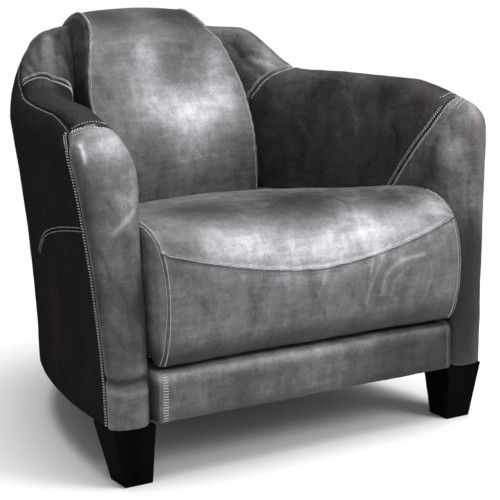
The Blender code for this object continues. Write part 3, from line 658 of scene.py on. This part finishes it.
def beside(tree, line, offset):
    """The line moved sideways over a surface."""
    result = []
    for number, place in enumerate(line):
        before = line[max(0, number - 1)]
        after = line[min(len(line) - 1, number + 1)]
        along = Vector(after - before)
        hit, normal, _, _ = tree.find_nearest(Vector(place), 0.03)
        if hit is None or along.length < 1e-7:
            continue
        across = normal.cross(along.normalized()) * offset
        for step in (across, -across):
            spot, lean, _, _ = tree.find_nearest(Vector(place) + step, 0.03)
            if offset == 0.0 or (spot and (spot - hit).dot(step) > 0.5 * offset * offset):
                result.append((spot, lean))
                break
    return result


def even_steps(route, pitch):
    """Places at an even pitch along a list of (point, normal)."""
    places = []
    travelled = 0.0
    target = 0.0
    for (p0, n0), (p1, n1) in zip(route, route[1:]):
        length = (p1 - p0).length
        if length > 0.03 or length < 1e-7:
            continue
        while target <= travelled + length:
            share = (target - travelled) / length
            places.append((p0.lerp(p1, share), n0.lerp(n1, share).normalized(),
                           (p1 - p0).normalized()))
            target += pitch
        travelled += length
    return places


# Along a stitch: place, height and thickness
STITCH_BOW = ((-0.5, -1.1, 0.7), (-0.28, 0.35, 1.0), (0.0, 0.7, 1.05), (0.28, 0.35, 1.0),
              (0.5, -1.1, 0.7))
STITCH_SIDES = 6


def stitches(name, rows, material, length=STITCH_LENGTH, crosswise=False):
    """Thread that dives into the leather at both ends of each stitch."""
    points = []
    faces = []
    ends = np.arange(STITCH_SIDES)
    tube = [np.array(face) for face in grid_faces(len(STITCH_BOW), STITCH_SIDES, ring=True)]
    tube += [ends[::-1], ends + (len(STITCH_BOW) - 1) * STITCH_SIDES]
    for route in rows:
        for place, normal, along in even_steps(route, STITCH_PITCH):
            across = normal.cross(along)
            run, width = (across, along) if crosswise else (along, across)
            faces += [(face + len(points)).tolist() for face in tube]
            for share, lift, thick in STITCH_BOW:
                centre = place + run * (share * length) + normal * (lift * THREAD_RADIUS)
                for swing in math.tau * ends / STITCH_SIDES:
                    points.append(centre + width * (THREAD_RADIUS * thick * math.cos(swing))
                                  + normal * (THREAD_RADIUS * thick * math.sin(swing)))
    mesh = bpy.data.meshes.new(name)
    mesh.from_pydata([tuple(p) for p in points], [], faces)
    return finish_piece(smooth_object(name, mesh), None, material)


# Pieces of the tub wall

def wall_piece(name, points, side, weld=1e-5):
    return new_piece(name, points, grid_faces(*points.shape[:2], flip=side < 0), weld)


def cover(name, side, *form):
    return wall_piece(name, cover_grid(*form, side), side)


def edge_radius(z, outside):
    """The facing's front edge is wide on the inside, low down, and tight elsewhere."""
    wide = smooth((INNER_EDGE_TOP_Z - z) / INNER_EDGE_FADE)
    tight = smooth((z - OUTER_EDGE_LOW_Z) / OUTER_EDGE_FADE)
    return np.where(outside, OUTER_EDGE + (TIP_EDGE - OUTER_EDGE) * tight,
                    TIP_EDGE + (FRONT_EDGE - TIP_EDGE) * wide)


def arm_front(name, side):
    """The padded facing that wraps the arm's front."""
    def span(angle, z, outside):
        first = angle_at_y(front_line(z) + edge_radius(z, outside), angle, z, outside)
        return first, front_seam_angle(angle, z, outside) - SEAM_SLIT
    legs = cover_grid(facing_shares(100, 50), span, 26, WALL_BOTTOM_Z, side)
    edge = legs[0]
    core_z = np.minimum(edge[:, 2], edge[:, 2].max() - OUTER_ROUND)
    core_z = (core_z + core_z[::-1]) / 2
    core_x = side * (INNER_A + outer_half_width(core_z)) / 2
    core = np.stack([core_x, np.zeros(len(edge)), core_z], -1)
    reach = np.hypot(edge[:, 0] - core[:, 0], edge[:, 2] - core[:, 2])
    radius = edge_radius(edge[:, 2], np.arange(len(edge)) > len(edge) // 2)
    rows = []
    for share in (1 - np.linspace(0.0, 1.0, 26)) ** 1.3:
        inward = np.minimum(1.0, share * reach / radius)
        place = edge + (core - edge) * share
        depth = radius * (1 - np.sqrt(1 - (1 - inward) ** 2))
        swell = FRONT_SWELL * (1 - (1 - share) ** 2)
        rows.append(np.stack([place[:, 0], front_line(place[:, 2]) + depth - swell,
                              place[:, 2]], -1))
    points = np.concatenate([np.stack(rows), legs[1:]])
    return wall_piece(name, points, side, FACING_WELD)


def arm_pad(name, side):
    def span(angle, z, outside):
        first = front_seam_angle(angle, z, outside)
        return first + SEAM_SLIT, wing_seam_angle(z, outside) - SEAM_SLIT
    return cover(name, side, over_shares(50, 40, 12), span, 120, PAD_BOTTOM_Z)


def wing(name, side):
    def span(angle, z, outside):
        first = wing_seam_angle(z, outside)
        clear = np.where(outside, 0.010, 0.001)
        return first + SEAM_SLIT, angle_at_x(spine_half(z) + clear, angle, z, outside)
    return cover(name, side, over_shares(50, 40, 16), span, 90, PAD_BOTTOM_Z)


def side_panel(name, side):
    def span(angle, z, outside):
        first = front_seam_angle(angle, z, outside)
        return first + SEAM_SLIT, np.full(angle.shape, BACK_SEAM - SEAM_SLIT)
    return cover(name, side, outside_shares(96), span, 120, WALL_BOTTOM_Z)


def back_corner(name, side):
    def span(angle, z, outside):
        last = angle_at_x(spine_half(z) + 0.002, angle, z, outside)
        return np.full(angle.shape, BACK_SEAM + SEAM_SLIT), last
    return cover(name, side, outside_shares(96), span, 50, WALL_BOTTOM_Z)


def back_centre(name):
    part = np.linspace(-1.0, 1.0, 70)[:, None]
    z = np.linspace(SPINE_HOOK_Z - 0.0003, WALL_BOTTOM_Z, 90)[None, :]
    x = part * (spine_half(z) + 0.0015)
    outer = outer_half_width(np.minimum(z, ARM_TOP_Z))
    y = TUB_FRONT_Y + (outer + BACK_EXTRA) * np.sqrt(1 - (x / outer) ** 2)
    points = np.stack([x, y, np.broadcast_to(z, x.shape)], -1)
    return wall_piece(name, points, -1.0)


# Cushions

def filled_profile(front, rest, fine, step=None):
    """A closed outline: a smooth front through its marks, then straight runs."""
    points = list(curve_through(front, fine))
    step = step or fine
    for start, end in zip((front[-1],) + rest, rest + (front[0],)):
        count = max(2, int(math.dist(start, end) / step))
        points += list(np.linspace(start, end, count, endpoint=False)[1:])
        points.append(np.array(end))
    return np.array(points[:-1])


def inward_normals(outline):
    along = np.roll(outline, -1, 0) - np.roll(outline, 1, 0)
    normals = np.stack([along[:, 1], -along[:, 0]], -1)
    normals /= np.linalg.norm(normals, axis=1)[:, None] + 1e-9
    for _ in range(3):
        normals = (np.roll(normals, 1, 0) + 2 * normals + np.roll(normals, -1, 0)) / 4
    return normals


def cushion(name, outline, centre, half_of, edge, crown, bend_of=lambda x, ring: 0.0,
            across=150):
    """A stuffed form: crowned panels, rounded edges and boxed sides."""
    inward = inward_normals(outline)
    crown = np.broadcast_to(crown, len(outline))
    turn = np.linspace(0.0, math.pi / 2, 8)[1:]
    plan = [(s, None, 0.0) for s in np.linspace(0.0, 1.0, across // 2)]
    plan += [(1.0, t, 0.0) for t in turn]
    plan += [(1.0, math.pi / 2, p) for p in np.linspace(0.0, 1.0, 12)[1:]]
    plan = [(-s, t, p) for s, t, p in plan[:0:-1]] + plan
    rings = []
    for s, t, pull in plan:
        inset = edge * (1 - math.cos(t)) if t else 0.0
        ring = outline + inward * (inset - crown * (1 - s * s))[:, None]
        ring = ring + (centre - ring) * pull
        half = half_of(ring)
        reach = edge * math.sin(t) if t else 0.0
        x = s * (half - edge) + math.copysign(reach, s)
        y = ring[:, 0] - bend_of(x, ring)
        rings.append(np.stack([x, y, ring[:, 1]], -1))
    points = np.stack(rings)
    return new_piece(name, points, grid_faces(*points.shape[:2], ring=True), 2e-4)


def soften(steps, turns):
    """Blend a profile's on and off steps into each other."""
    steps = steps.astype(float)
    for _ in range(turns):
        steps = (np.roll(steps, 1) + steps + np.roll(steps, -1)) / 3
    return steps


def middle_cushion():
    outline = filled_profile(SPINE_FRONT, SPINE_REST, 0.005)
    y, z = outline.T
    front = soften((y < 0.17) & (z > 0.40), 12)
    top = soften(z > 0.69, 12)
    roll_length = max(y for y, _ in SPINE_FRONT) - SPINE_ROLL_START_Y

    def bend_of(x, ring):
        share = np.clip((ring[:, 0] - SPINE_ROLL_START_Y) / roll_length, 0.0, None)
        return np.where(ring[:, 1] >= SPINE_HOOK_Z - 0.02, share * back_curve(x), 0.0)
    obj = cushion("middle_cushion_leather", outline, np.array((0.230, 0.560)),
                  lambda ring: spine_half(ring[:, 1]), SPINE_EDGE,
                  SPINE_CROWN * front - SPINE_TOP_HOLLOW * top, bend_of, across=110)
    points, _ = vertex_places(obj)
    share = np.abs(points[:, 0]) / SPINE_TOP_HALF
    points[:, 2] -= SPINE_TOP_CROWN * share ** 2 * smooth((points[:, 2] - 0.650) / 0.050)
    return move_points(obj, points)


def seat():
    rest = ((SEAT_BACK_Y, SEAT_TOP_BACK_Z), (SEAT_BACK_Y, SEAT_BOTTOM_Z))
    outline = filled_profile(SEAT_FRONT, rest, 0.0028, 0.008)
    y, z = outline.T
    top = soften((z > 0.22) & (y < 0.05), 14)

    def half_at(y):
        reach = np.clip(y - TUB_FRONT_Y, 0.0, None) / INNER_B
        return INNER_A * np.sqrt(1 - reach * reach) - SEAT_CLEAR
    obj = cushion("seat_leather", outline, np.array((-0.17, 0.31)),
                  lambda ring: half_at(ring[:, 0]), SEAT_EDGE, SEAT_CROWN * top)
    points, _ = vertex_places(obj)
    back = points[:, 1] > 0.0
    width = half_at(points[:, 1])
    ear = smooth((np.abs(points[:, 0]) / width - SEAT_EAR_START) / SEAT_EAR_FADE)
    stretch = smooth(points[:, 1] / SEAT_BACK_Y) * back
    y = points[:, 1] + ear * stretch * (SEAT_EAR_Y - SEAT_BACK_Y)
    points[:, 0] *= np.where(back, half_at(y) / width, 1.0)
    points[:, 1] = y
    upper = smooth((points[:, 2] - 0.30) / 0.06) * smooth((y + 0.30) / 0.15)
    side_share = (np.abs(points[:, 0]) / INNER_A) ** 1.4
    points[:, 2] -= (SEAT_SINK + SEAT_SIDE_SINK * side_share) * upper
    return move_points(obj, points)


def border():
    """Padded strip under the seat cushion, rounded along its top."""
    front = ((BORDER_FRONT_Y + 0.003, BORDER_BOTTOM_Z), (BORDER_FRONT_Y, 0.108),
             (BORDER_FRONT_Y - 0.001, 0.140), (BORDER_FRONT_Y, 0.170),
             (BORDER_FRONT_Y + 0.004, 0.182), (BORDER_FRONT_Y + 0.014, BORDER_TOP_Z))
    rest = ((BORDER_BACK_Y, BORDER_TOP_Z), (BORDER_BACK_Y, BORDER_BOTTOM_Z))
    return cushion("front_border_leather", filled_profile(front, rest, 0.003),
                   np.array((-0.35, 0.144)),
                   lambda ring: np.full(len(ring), INNER_A - BORDER_CLEAR), 0.004, 0.0)


def seat_lines(tree):
    """The sagging seam over the seat's front and the seams down its front corners."""
    sag = [(x, SEAT_SEAM_LOW_Z + SEAT_SEAM_RISE * (abs(x) / SEAT_SEAM_HALF) ** 1.7)
           for x in np.linspace(-0.291, 0.291, 160)]
    corners = [[(side * SEAT_CORNER_X, z) for z in np.linspace(0.200, 0.418, 70)]
               for side in (-1, 1)]
    return seen_from_front(tree, sag), [seen_from_front(tree, corner) for corner in corners]


# Marks read off the photograph, in its pixels, with millimetres on the chair:
# creases as ((x, y, ...), depth, width, tone), patches as (x, y, radius, tone).
# Their tones are painted light and shade along with wear: lighter marks paint highlights and
# sheen, darker marks paint shade.

# On the left facing the depth-0 rows are painted shade beside the outer seam and down the inner
# edge, and the raised row at (80, 146) is a painted highlight.
LEFT_FRONT_CREASES = (
    ((134, 211, 125, 222, 113, 235), 1.6, 4, 0.16),
    ((104, 199, 111, 207, 118, 219), 0.8, 3, -0.05),
    ((116, 196, 126, 198, 133, 204), 1, 3, 0.06),
    ((104, 379, 118, 383, 134, 382, 150, 377), 4, 6, -0.28),
    ((110, 392, 130, 394, 150, 390), -1.5, 6, 0.10),
    ((96, 250, 104, 262, 110, 280), 1.4, 4, -0.08),
    ((122, 290, 128, 310, 130, 330), 1.2, 4, -0.08),
    ((100, 320, 112, 330, 124, 348), 1.4, 4, -0.08),
    ((75, 152, 84, 195, 92, 250, 98, 310, 105, 370), 0, 12, -0.18),
    ((80, 146, 83, 154, 85, 162), -1, 4, 0.30),
    ((128, 240, 134, 300, 138, 360), 0, 14, -0.10),
)
# Painted highlights at the nose and shoulder near the top, painted shade lower down.
LEFT_FRONT_PATCHES = (
    (108, 142, 30, 0.24), (84, 152, 22, 0.16), (126, 150, 30, 0.08),
    (88, 215, 35, -0.14), (96, 300, 35, -0.12), (125, 200, 40, 0.10),
    (136, 300, 35, -0.08), (115, 300, 45, -0.08), (115, 225, 45, -0.06),
    (120, 355, 50, -0.18), (130, 410, 50, -0.12),
)
LEFT_WING_CREASES = (
    ((24, 58, 29, 66, 36, 74), 2.5, 5, 0.08),
    ((22, 66, 26, 72, 31, 78), 2, 4, -0.08),
    ((38, 34, 36, 46, 38, 60), 2, 7, -0.06),
    ((62, 30, 58, 48, 60, 66), 1.8, 6, -0.05),
)
LEFT_WING_PATCHES = ((46, 52, 45, 0.16), (68, 60, 25, -0.10), (24, 82, 10, 0.30),
                     (40, 32, 30, -0.06))
RIGHT_WING_CREASES = (
    ((232, 46, 246, 62, 262, 76), 2, 8, -0.06),
    ((248, 56, 262, 60, 276, 66), 2, 7, 0.08),
)
RIGHT_WING_PATCHES = ((268, 62, 35, 0.14), (236, 60, 40, -0.04))
RIGHT_ARM_CREASES = (
    ((392, 128, 398, 142, 396, 158), 2, 6, -0.06),
    ((300, 120, 310, 140, 306, 165), 1.6, 8, 0.05),
    ((352, 96, 356, 120, 350, 150), 1.6, 8, 0.05),
)
RIGHT_ARM_PATCHES = ((345, 150, 60, 0.06), (280, 130, 40, 0.07), (430, 95, 40, -0.12),
                     (330, 82, 45, -0.12), (385, 88, 45, -0.12))
RIGHT_FRONT_CREASES = (
    ((436, 140, 430, 160, 432, 180), 1.6, 5, -0.06),
    ((470, 176, 468, 200, 472, 226), 1.8, 5, -0.08),
)
# Painted highlights near the top and in a strip low down, painted shade down the outer side.
RIGHT_FRONT_PATCHES = ((474, 110, 22, 0.26), (455, 150, 22, 0.16), (470, 200, 30, 0.04),
                       (476, 290, 80, -0.80), (476, 340, 50, -0.50), (458, 335, 20, 0.14),
                       (466, 235, 45, -0.28), (430, 170, 30, -0.06))
# Painted light over the middle of the cushion and painted shade along its top, along with wear.
MIDDLE_PATCHES = ((150, 100, 50, 0.24), (185, 112, 55, 0.34), (222, 100, 50, 0.30),
                  (216, 62, 35, 0.18), (145, 52, 35, 0.22), (180, 18, 55, -0.42),
                  (110, 20, 50, -0.34), (190, 156, 60, 0.12), (112, 80, 35, 0.06),
                  (148, 72, 40, 0.10), (128, 134, 40, 0.08), (204, 122, 40, 0.10),
                  (172, 70, 24, -0.08))
# Lighter tones on the seat's wrinkles are painted highlights and wear, darker ones painted shade.
SEAT_CREASES = (
    ((382, 294, 386, 276, 398, 263, 424, 254), 2.6, 3.5, 0.14),
    ((392, 296, 397, 280, 409, 267), -1.2, 3, 0.10),
    ((372, 260, 370, 284, 366, 304), 2, 3, 0.14),
    ((383, 255, 377, 270, 371, 287), 1.8, 3, 0.12),
    ((328, 266, 322, 284, 316, 300), 1.4, 3, 0.10),
    ((308, 268, 314, 292, 328, 320), 1.4, 4, -0.06),
    ((431, 262, 430, 280, 424, 298), 1.4, 3, 0.10),
    ((452, 214, 442, 208, 430, 207), 2.4, 4, -0.08),
    ((453, 219, 440, 216, 424, 219), 1.8, 3.5, -0.06),
    ((452, 225, 438, 227, 424, 233), 1.4, 3, 0.08),
    ((256, 203, 262, 206, 268, 203), -1.4, 4, 0.10),
    ((330, 198, 346, 206, 352, 220), 1.4, 6, -0.05),
    ((200, 300, 214, 318, 220, 344), 1.4, 6, -0.05),
    ((250, 290, 256, 312, 250, 336), 1.4, 6, -0.05),
)
# A painted highlight band with wear over the seat's front roll, painted shade at the back where
# the seat meets the middle cushion.
SEAT_PATCHES = (
    (215, 246, 40, 0.24), (250, 248, 45, 0.30), (290, 250, 50, 0.34),
    (330, 245, 50, 0.36), (370, 236, 50, 0.38), (408, 222, 45, 0.36),
    (438, 210, 30, 0.30), (200, 208, 60, -0.38), (300, 203, 70, -0.40),
    (390, 199, 50, -0.24), (340, 214, 40, 0.06), (230, 310, 50, 0.06),
    (330, 345, 50, 0.05), (420, 310, 50, -0.06),
)
CREST_MARKS = ((72, 133, 80, 130, 90, 128, 100, 128.5, 108, 131, 114, 134.5),
               (73, 136, 81, 133, 90, 131, 100, 131.5, 107, 134, 112, 137))
CREST_PAD_MARKS = (72, 128.5, 80, 124.5, 90, 122, 98, 122, 105, 124)
SIDE_MARKS = (83, 230, 62, 229, 48, 232, 42, 240, 39, 252)
SIDE_BROWNS = ((54, 300, 30, 0.36), (56, 330, 30, 0.40), (58, 360, 30, 0.30),
               (52, 270, 22, 0.24))
FRONT_BROWNS = ((478, 115, 20, 0.5), (476, 140, 22, 0.4))
ARM_BROWNS = ((425, 95, 25, 0.5), (60, 108, 30, 0.5))
SEAT_BROWNS = ((446, 305, 20, 0.45),)


def build_wall(side, hand):
    left = side < 0
    choose_wing(side)
    front_seam, is_outside = front_seam_line(side)
    wing_seam, _ = wing_seam_line(side)
    top_line = top_seam_line(side)

    facing = arm_front("arm_front_leather_" + hand, side)
    # The facing's front seam groove gets a little painted shade.
    shape_piece(facing, 0.56 if left else 0.50, presses=((front_seam, 3, 4, -0.05),),
                creases=LEFT_FRONT_CREASES if left else RIGHT_FRONT_CREASES,
                patches=LEFT_FRONT_PATCHES if left else RIGHT_FRONT_PATCHES,
                browns=() if left else FRONT_BROWNS)
    pad = arm_pad("arm_leather_" + hand, side)
    shape_piece(pad, 0.08 if left else 0.33,
                presses=((front_seam, 3, 4, 0.06), (wing_seam, 3.5, 5, 0.0),
                         (top_line, 3, 5, 0.0)),
                creases=() if left else RIGHT_ARM_CREASES,
                patches=() if left else RIGHT_ARM_PATCHES, browns=ARM_BROWNS, ripple=0.0016)
    shoulder = wing("wing_leather_" + hand, side)
    shape_piece(shoulder, 0.28 if left else 0.43,
                presses=((wing_seam, 3.5, 5, 0.04), (top_line, 3, 5, 0.0)),
                creases=LEFT_WING_CREASES if left else RIGHT_WING_CREASES,
                patches=LEFT_WING_PATCHES if left else RIGHT_WING_PATCHES, ripple=0.0018)
    panel = side_panel("side_leather_" + hand, side)
    patch_line = traced_from_left("side_leather", SIDE_MARKS, side)
    shape_piece(panel, 0.18, browns=SIDE_BROWNS if left else (), ripple=0.0010,
                presses=((front_seam, 4, 6, 0.0), (top_line, 4, 6, 0.0), (patch_line, 2, 3, 0.0)))
    corner = back_corner("back_corner_leather_" + hand, side)
    shape_piece(corner, 0.14, presses=((top_line, 4, 6, 0.0),), ripple=0.0010)

    on_facing, on_pad, on_wing, on_panel = [tree_of(obj) for obj in (facing, pad, shoulder, panel)]
    inside = front_seam[~is_outside]
    inside = inside[inside[:, 2] > ROW_LOW_Z]
    outside = front_seam[is_outside]
    over = np.vstack([inside, outside[outside[:, 2] > CREST_ROW_LOW_Z]])
    across = wing_seam[wing_seam[:, 2] > WING_ROW_LOW_Z]
    rows = []
    for offset, facing_offset in STITCH_OFFSETS:
        rows += [beside(on_facing, over, -facing_offset * side),
                 beside(on_pad, inside[inside[:, 2] < PAD_ROW_TOP_Z], offset * side),
                 beside(on_panel, outside[outside[:, 2] < PANEL_ROW_TOP_Z], offset * side),
                 beside(on_pad, across, -offset * side), beside(on_wing, across, offset * side)]
    rows += [beside(on_facing, traced_from_left("arm_front_leather", marks, side), 0.0)
             for marks in CREST_MARKS]
    rows.append(beside(on_pad, traced_from_left("arm_leather", CREST_PAD_MARKS, side), 0.0))
    dark_rows = [beside(on_panel, patch_line, PANEL_ROW_OFFSET),
                 beside(on_panel, patch_line, -PANEL_ROW_OFFSET),
                 beside(on_panel, top_line, TOP_ROW_OFFSET)]
    for piece, node, slot, material, fill in (
            (facing, "arm_front_", "leather_grey", LEATHER_GREY, 0.8),
            (pad, "arm_pad_", "leather_dark", LEATHER_DARK, 0.8),
            (shoulder, "wing_", "leather_grey", LEATHER_GREY, 0.8),
            (panel, "side_panel_", "leather_dark", LEATHER_SIDE, None),
            (corner, "back_corner_panel_", "leather_dark", LEATHER_SIDE, None)):
        thicken(finish_piece(piece, node + hand, material))
    stitches("seam_stitches_" + hand, rows, THREAD)
    stitches("panel_stitches_" + hand, dark_rows, DARK_THREAD)


def spine_edge(tree, side):
    """The sewn edge of the middle cushion, up its front and over the roll."""
    hits = []
    for y, z in curve_through(SPINE_FRONT, 0.004):
        x = side * (float(spine_half(np.array(z))) - 0.0045)
        hooked = max(0.0, (y - SPINE_ROLL_START_Y) / SPINE_SEAM_REACH) * float(back_curve(x))
        hits.append(tree.find_nearest(Vector((x, y - hooked, z)), 0.05)[0])
    return met(hits)


def build_middle():
    spine = middle_cushion()
    tree = tree_of(spine)
    edges = [spine_edge(tree, side) for side in (-1, 1)]
    shape_piece(spine, 0.47, presses=[(edge, 3, 2.8, 0.10) for edge in edges],
                patches=MIDDLE_PATCHES, ripple=0.0014, ripple_size=10.0)
    # Painted shade on the middle cushion's sideways-facing boxed sides.
    paint_side_shading(spine, 0.22, 0.5)
    tree = tree_of(spine)
    rows = [beside(tree, edge, -side * 0.0035) for edge, side in zip(edges, (-1, 1))]
    finish_piece(spine, "middle_back_cushion", LEATHER_GREY)
    stitches("middle_cushion_stitches", rows, THREAD)


def build_seat():
    pad = seat()
    sag, corners = seat_lines(tree_of(pad))
    ridge = sag + np.array((0.0, 0.0, 0.005))
    below = sag - np.array((0.0, 0.0, 0.007))
    # Tones along the seams: painted shade in the sagging seam and in the groove just below it, a
    # painted highlight on the ridge above it, painted shade in the corner seams.
    presses = [(sag, 4, 2.5, -0.34), (ridge, -1.2, 3, 0.16),
               (below, 1.6, 1.8, -0.16)]
    presses += [(corner, 2.2, 3, -0.10) for corner in corners]
    shape_piece(pad, 0.48, presses=presses, creases=SEAT_CREASES, patches=SEAT_PATCHES,
                browns=SEAT_BROWNS, ripple=0.0022, ripple_size=9.0)
    # Painted light on the seat's sideways-facing boxed sides.
    paint_side_shading(pad, -0.14, 0.7)
    points, _ = vertex_places(pad)
    # Painted shade low on the seat's front, darker towards its bottom.
    tint(pad, -0.26 * smooth((SEAT_SHADE_TOP_Z - points[:, 2]) / SEAT_SHADE_FADE))
    tree = tree_of(pad)
    rows = [beside(tree, ridge, 0.0035)]
    rows += [beside(tree, corner, offset) for corner in corners for offset in (0.0034, -0.0034)]
    finish_piece(pad, "seat_cushion", LEATHER_GREY)
    stitches("seat_stitches", rows, THREAD)


def build_border():
    strip = border()
    tree = tree_of(strip)
    heights = np.linspace(0.106, 0.182, 30)
    ends = [seen_from_front(tree, [(side * BORDER_STITCH_X, z) for z in heights])
            for side in (-1, 1)]
    # The seam grooves at the strip's ends get a little painted shade.
    presses = [(line, 1.8, 3, -0.06) for line in ends]
    shape_piece(strip, 0.50, presses=presses, ripple=0.0014, ripple_size=16.0)
    x, _, z = vertex_places(strip)[0].T
    # Painted light and shade: a painted highlight along the rounded top, painted shade towards the
    # right end and along the bottom.
    tones = 0.46 + 0.24 * smooth((z - 0.158) / 0.022)
    tones -= 0.26 * smooth((x - 0.02) / 0.27) + 0.10 * smooth((0.125 - z) / 0.02)
    store(strip, "tone", tones)
    finish_piece(strip, "front_border", LEATHER_GREY)
    rows = [beside(tree_of(strip), line, 0.0) for line in ends]
    stitches("front_border_stitches", rows[:1], THREAD, length=0.0085, crosswise=True)
    stitches("front_border_row", rows[1:], DARK_THREAD)


def build_back():
    strip = back_centre("back_centre_leather")
    shape_piece(strip, 0.14, ripple=0.0010)
    thicken(finish_piece(strip, "back_centre_panel", LEATHER_SIDE))


def dust_cover():
    """Black cloth stapled under the frame, slack between its edges."""
    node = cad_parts["dust_cover"]
    corners = np.array([tuple(node.matrix_world @ v.co) for v in node.data.vertices])
    low, high = corners.min(0), corners.max(0)
    length = high[1] - TUB_FRONT_Y
    y = np.linspace(low[1], TUB_FRONT_Y + length * 0.998, 70)[:, None]
    share = np.linspace(-1.0, 1.0, 60)[None, :]
    half = high[0] * np.sqrt(1 - ((y - TUB_FRONT_Y) / length) ** 2)
    along = 2 * (y - low[1]) / (high[1] - low[1]) - 1
    slack = (1 - share ** 2) ** 2 * (1 - along ** 2) ** 2
    folds = COVER_FOLD * np.sin(share * half * 90 + along * 7) * (1 - share ** 2)
    z = high[2] - COVER_SLACK * slack + folds * (1 - along ** 2)
    points = np.stack([share * half, np.broadcast_to(y, z.shape), z], -1)
    obj = new_piece("dust_cover_cloth", points, grid_faces(*points.shape[:2]))
    finish_piece(obj, "dust_cover", BLACK_CLOTH)
    thicken(obj, COVER_THICK)


def carry_over():
    """Better finishes for the parts that stay."""
    by_slot = (("foot_bolt", BOLT), ("foot", BLACK_WOOD), ("spring", STEEL), ("strap", WEBBING),
               ("deck", DECK_CLOTH), ("dust", BLACK_CLOTH), ("rail", FRAME_WOOD),
               ("post", FRAME_WOOD))
    for name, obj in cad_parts.items():
        for key, material in by_slot:
            if key in name:
                for slot in obj.material_slots:
                    slot.material = material
                break


# Studio

LIGHT_AIM = Vector((0.0, 0.0, 0.35))
FLOOR_HALF = 4.0
FLOOR_FADE = (0.75, 1.35)


def area_light(name, place, size, power):
    data = bpy.data.lights.new(name, "AREA")
    data.shape = "RECTANGLE"
    data.size, data.size_y = size
    data.energy = power
    obj = bpy.data.objects.new(name, data)
    obj.location = place
    obj.rotation_euler = (LIGHT_AIM - Vector(place)).to_track_quat("-Z", "Y").to_euler()
    bpy.context.scene.collection.objects.link(obj)


def seen_directly(tree):
    return tree.nodes.new("ShaderNodeLightPath").outputs["Is Camera Ray"]


def floor_paint():
    """White paint that takes the shadow near the chair and stays white further out."""
    material = plain_stuff("floor_paint", (0.93, 0.93, 0.93), (0.95, 0.95, 0.95), 2.0, 0.9, 0.0001)
    tree = material.node_tree
    place = tree.nodes.new("ShaderNodeTexCoord").outputs["Object"]
    away = add_node(tree, "ShaderNodeVectorMath", {0: place}, operation="LENGTH")
    far = range_of(tree, away.outputs["Value"], FLOOR_FADE, (0.0, 1.0),
                   interpolation_type="SMOOTHSTEP")
    white = add_node(tree, "ShaderNodeEmission", {"Color": (1, 1, 1, 1), "Strength": 1.0})
    share = blend_of(tree, far, seen_directly(tree))
    shown = add_node(tree, "ShaderNodeMixShader", {
        "Fac": share, 1: tree.nodes["Principled BSDF"].outputs[0], 2: white.outputs[0]})
    feed(tree.nodes["Material Output"], {"Surface": shown.outputs[0]})
    return material


def studio():
    scene = bpy.context.scene
    scene.view_settings.view_transform = "Standard"
    data = bpy.data.cameras.new("camera")
    data.lens = LENS
    data.sensor_width = SENSOR
    camera = bpy.data.objects.new("camera", data)
    camera.location = CAMERA_AT
    camera.rotation_euler = CAMERA_TURN
    scene.collection.objects.link(camera)
    scene.camera = camera

    corners = np.array([(-1, -1, 0), (1, -1, 0), (1, 1, 0), (-1, 1, 0)]) * FLOOR_HALF
    floor = new_piece("floor", corners, [(0, 1, 2, 3)])
    floor.data.materials.append(floor_paint())

    world = bpy.data.worlds.new("world")
    scene.world = world
    world.use_nodes = True
    tree = world.node_tree
    around = feed(tree.nodes["Background"], {"Color": (0.95, 0.97, 1.0, 1.0), "Strength": 0.30})
    behind = add_node(tree, "ShaderNodeBackground", {"Color": (1, 1, 1, 1), "Strength": 1.0})
    mix = add_node(tree, "ShaderNodeMixShader", {
        "Fac": seen_directly(tree), 1: around.outputs[0], 2: behind.outputs[0]})
    feed(tree.nodes["World Output"], {"Surface": mix.outputs[0]})

    area_light("key", (1.5, -2.3, 1.9), (1.3, 1.1), 42.0)
    area_light("top", (0.2, -0.1, 3.1), (3.0, 3.0), 150.0)
    area_light("fill", (-1.0, -3.0, 0.9), (1.2, 1.2), 8.0)


for number, name in ((-1.0, "left"), (1.0, "right")):
    build_wall(number, name)
build_middle()
build_seat()
build_border()
build_back()
dust_cover()
carry_over()
studio()
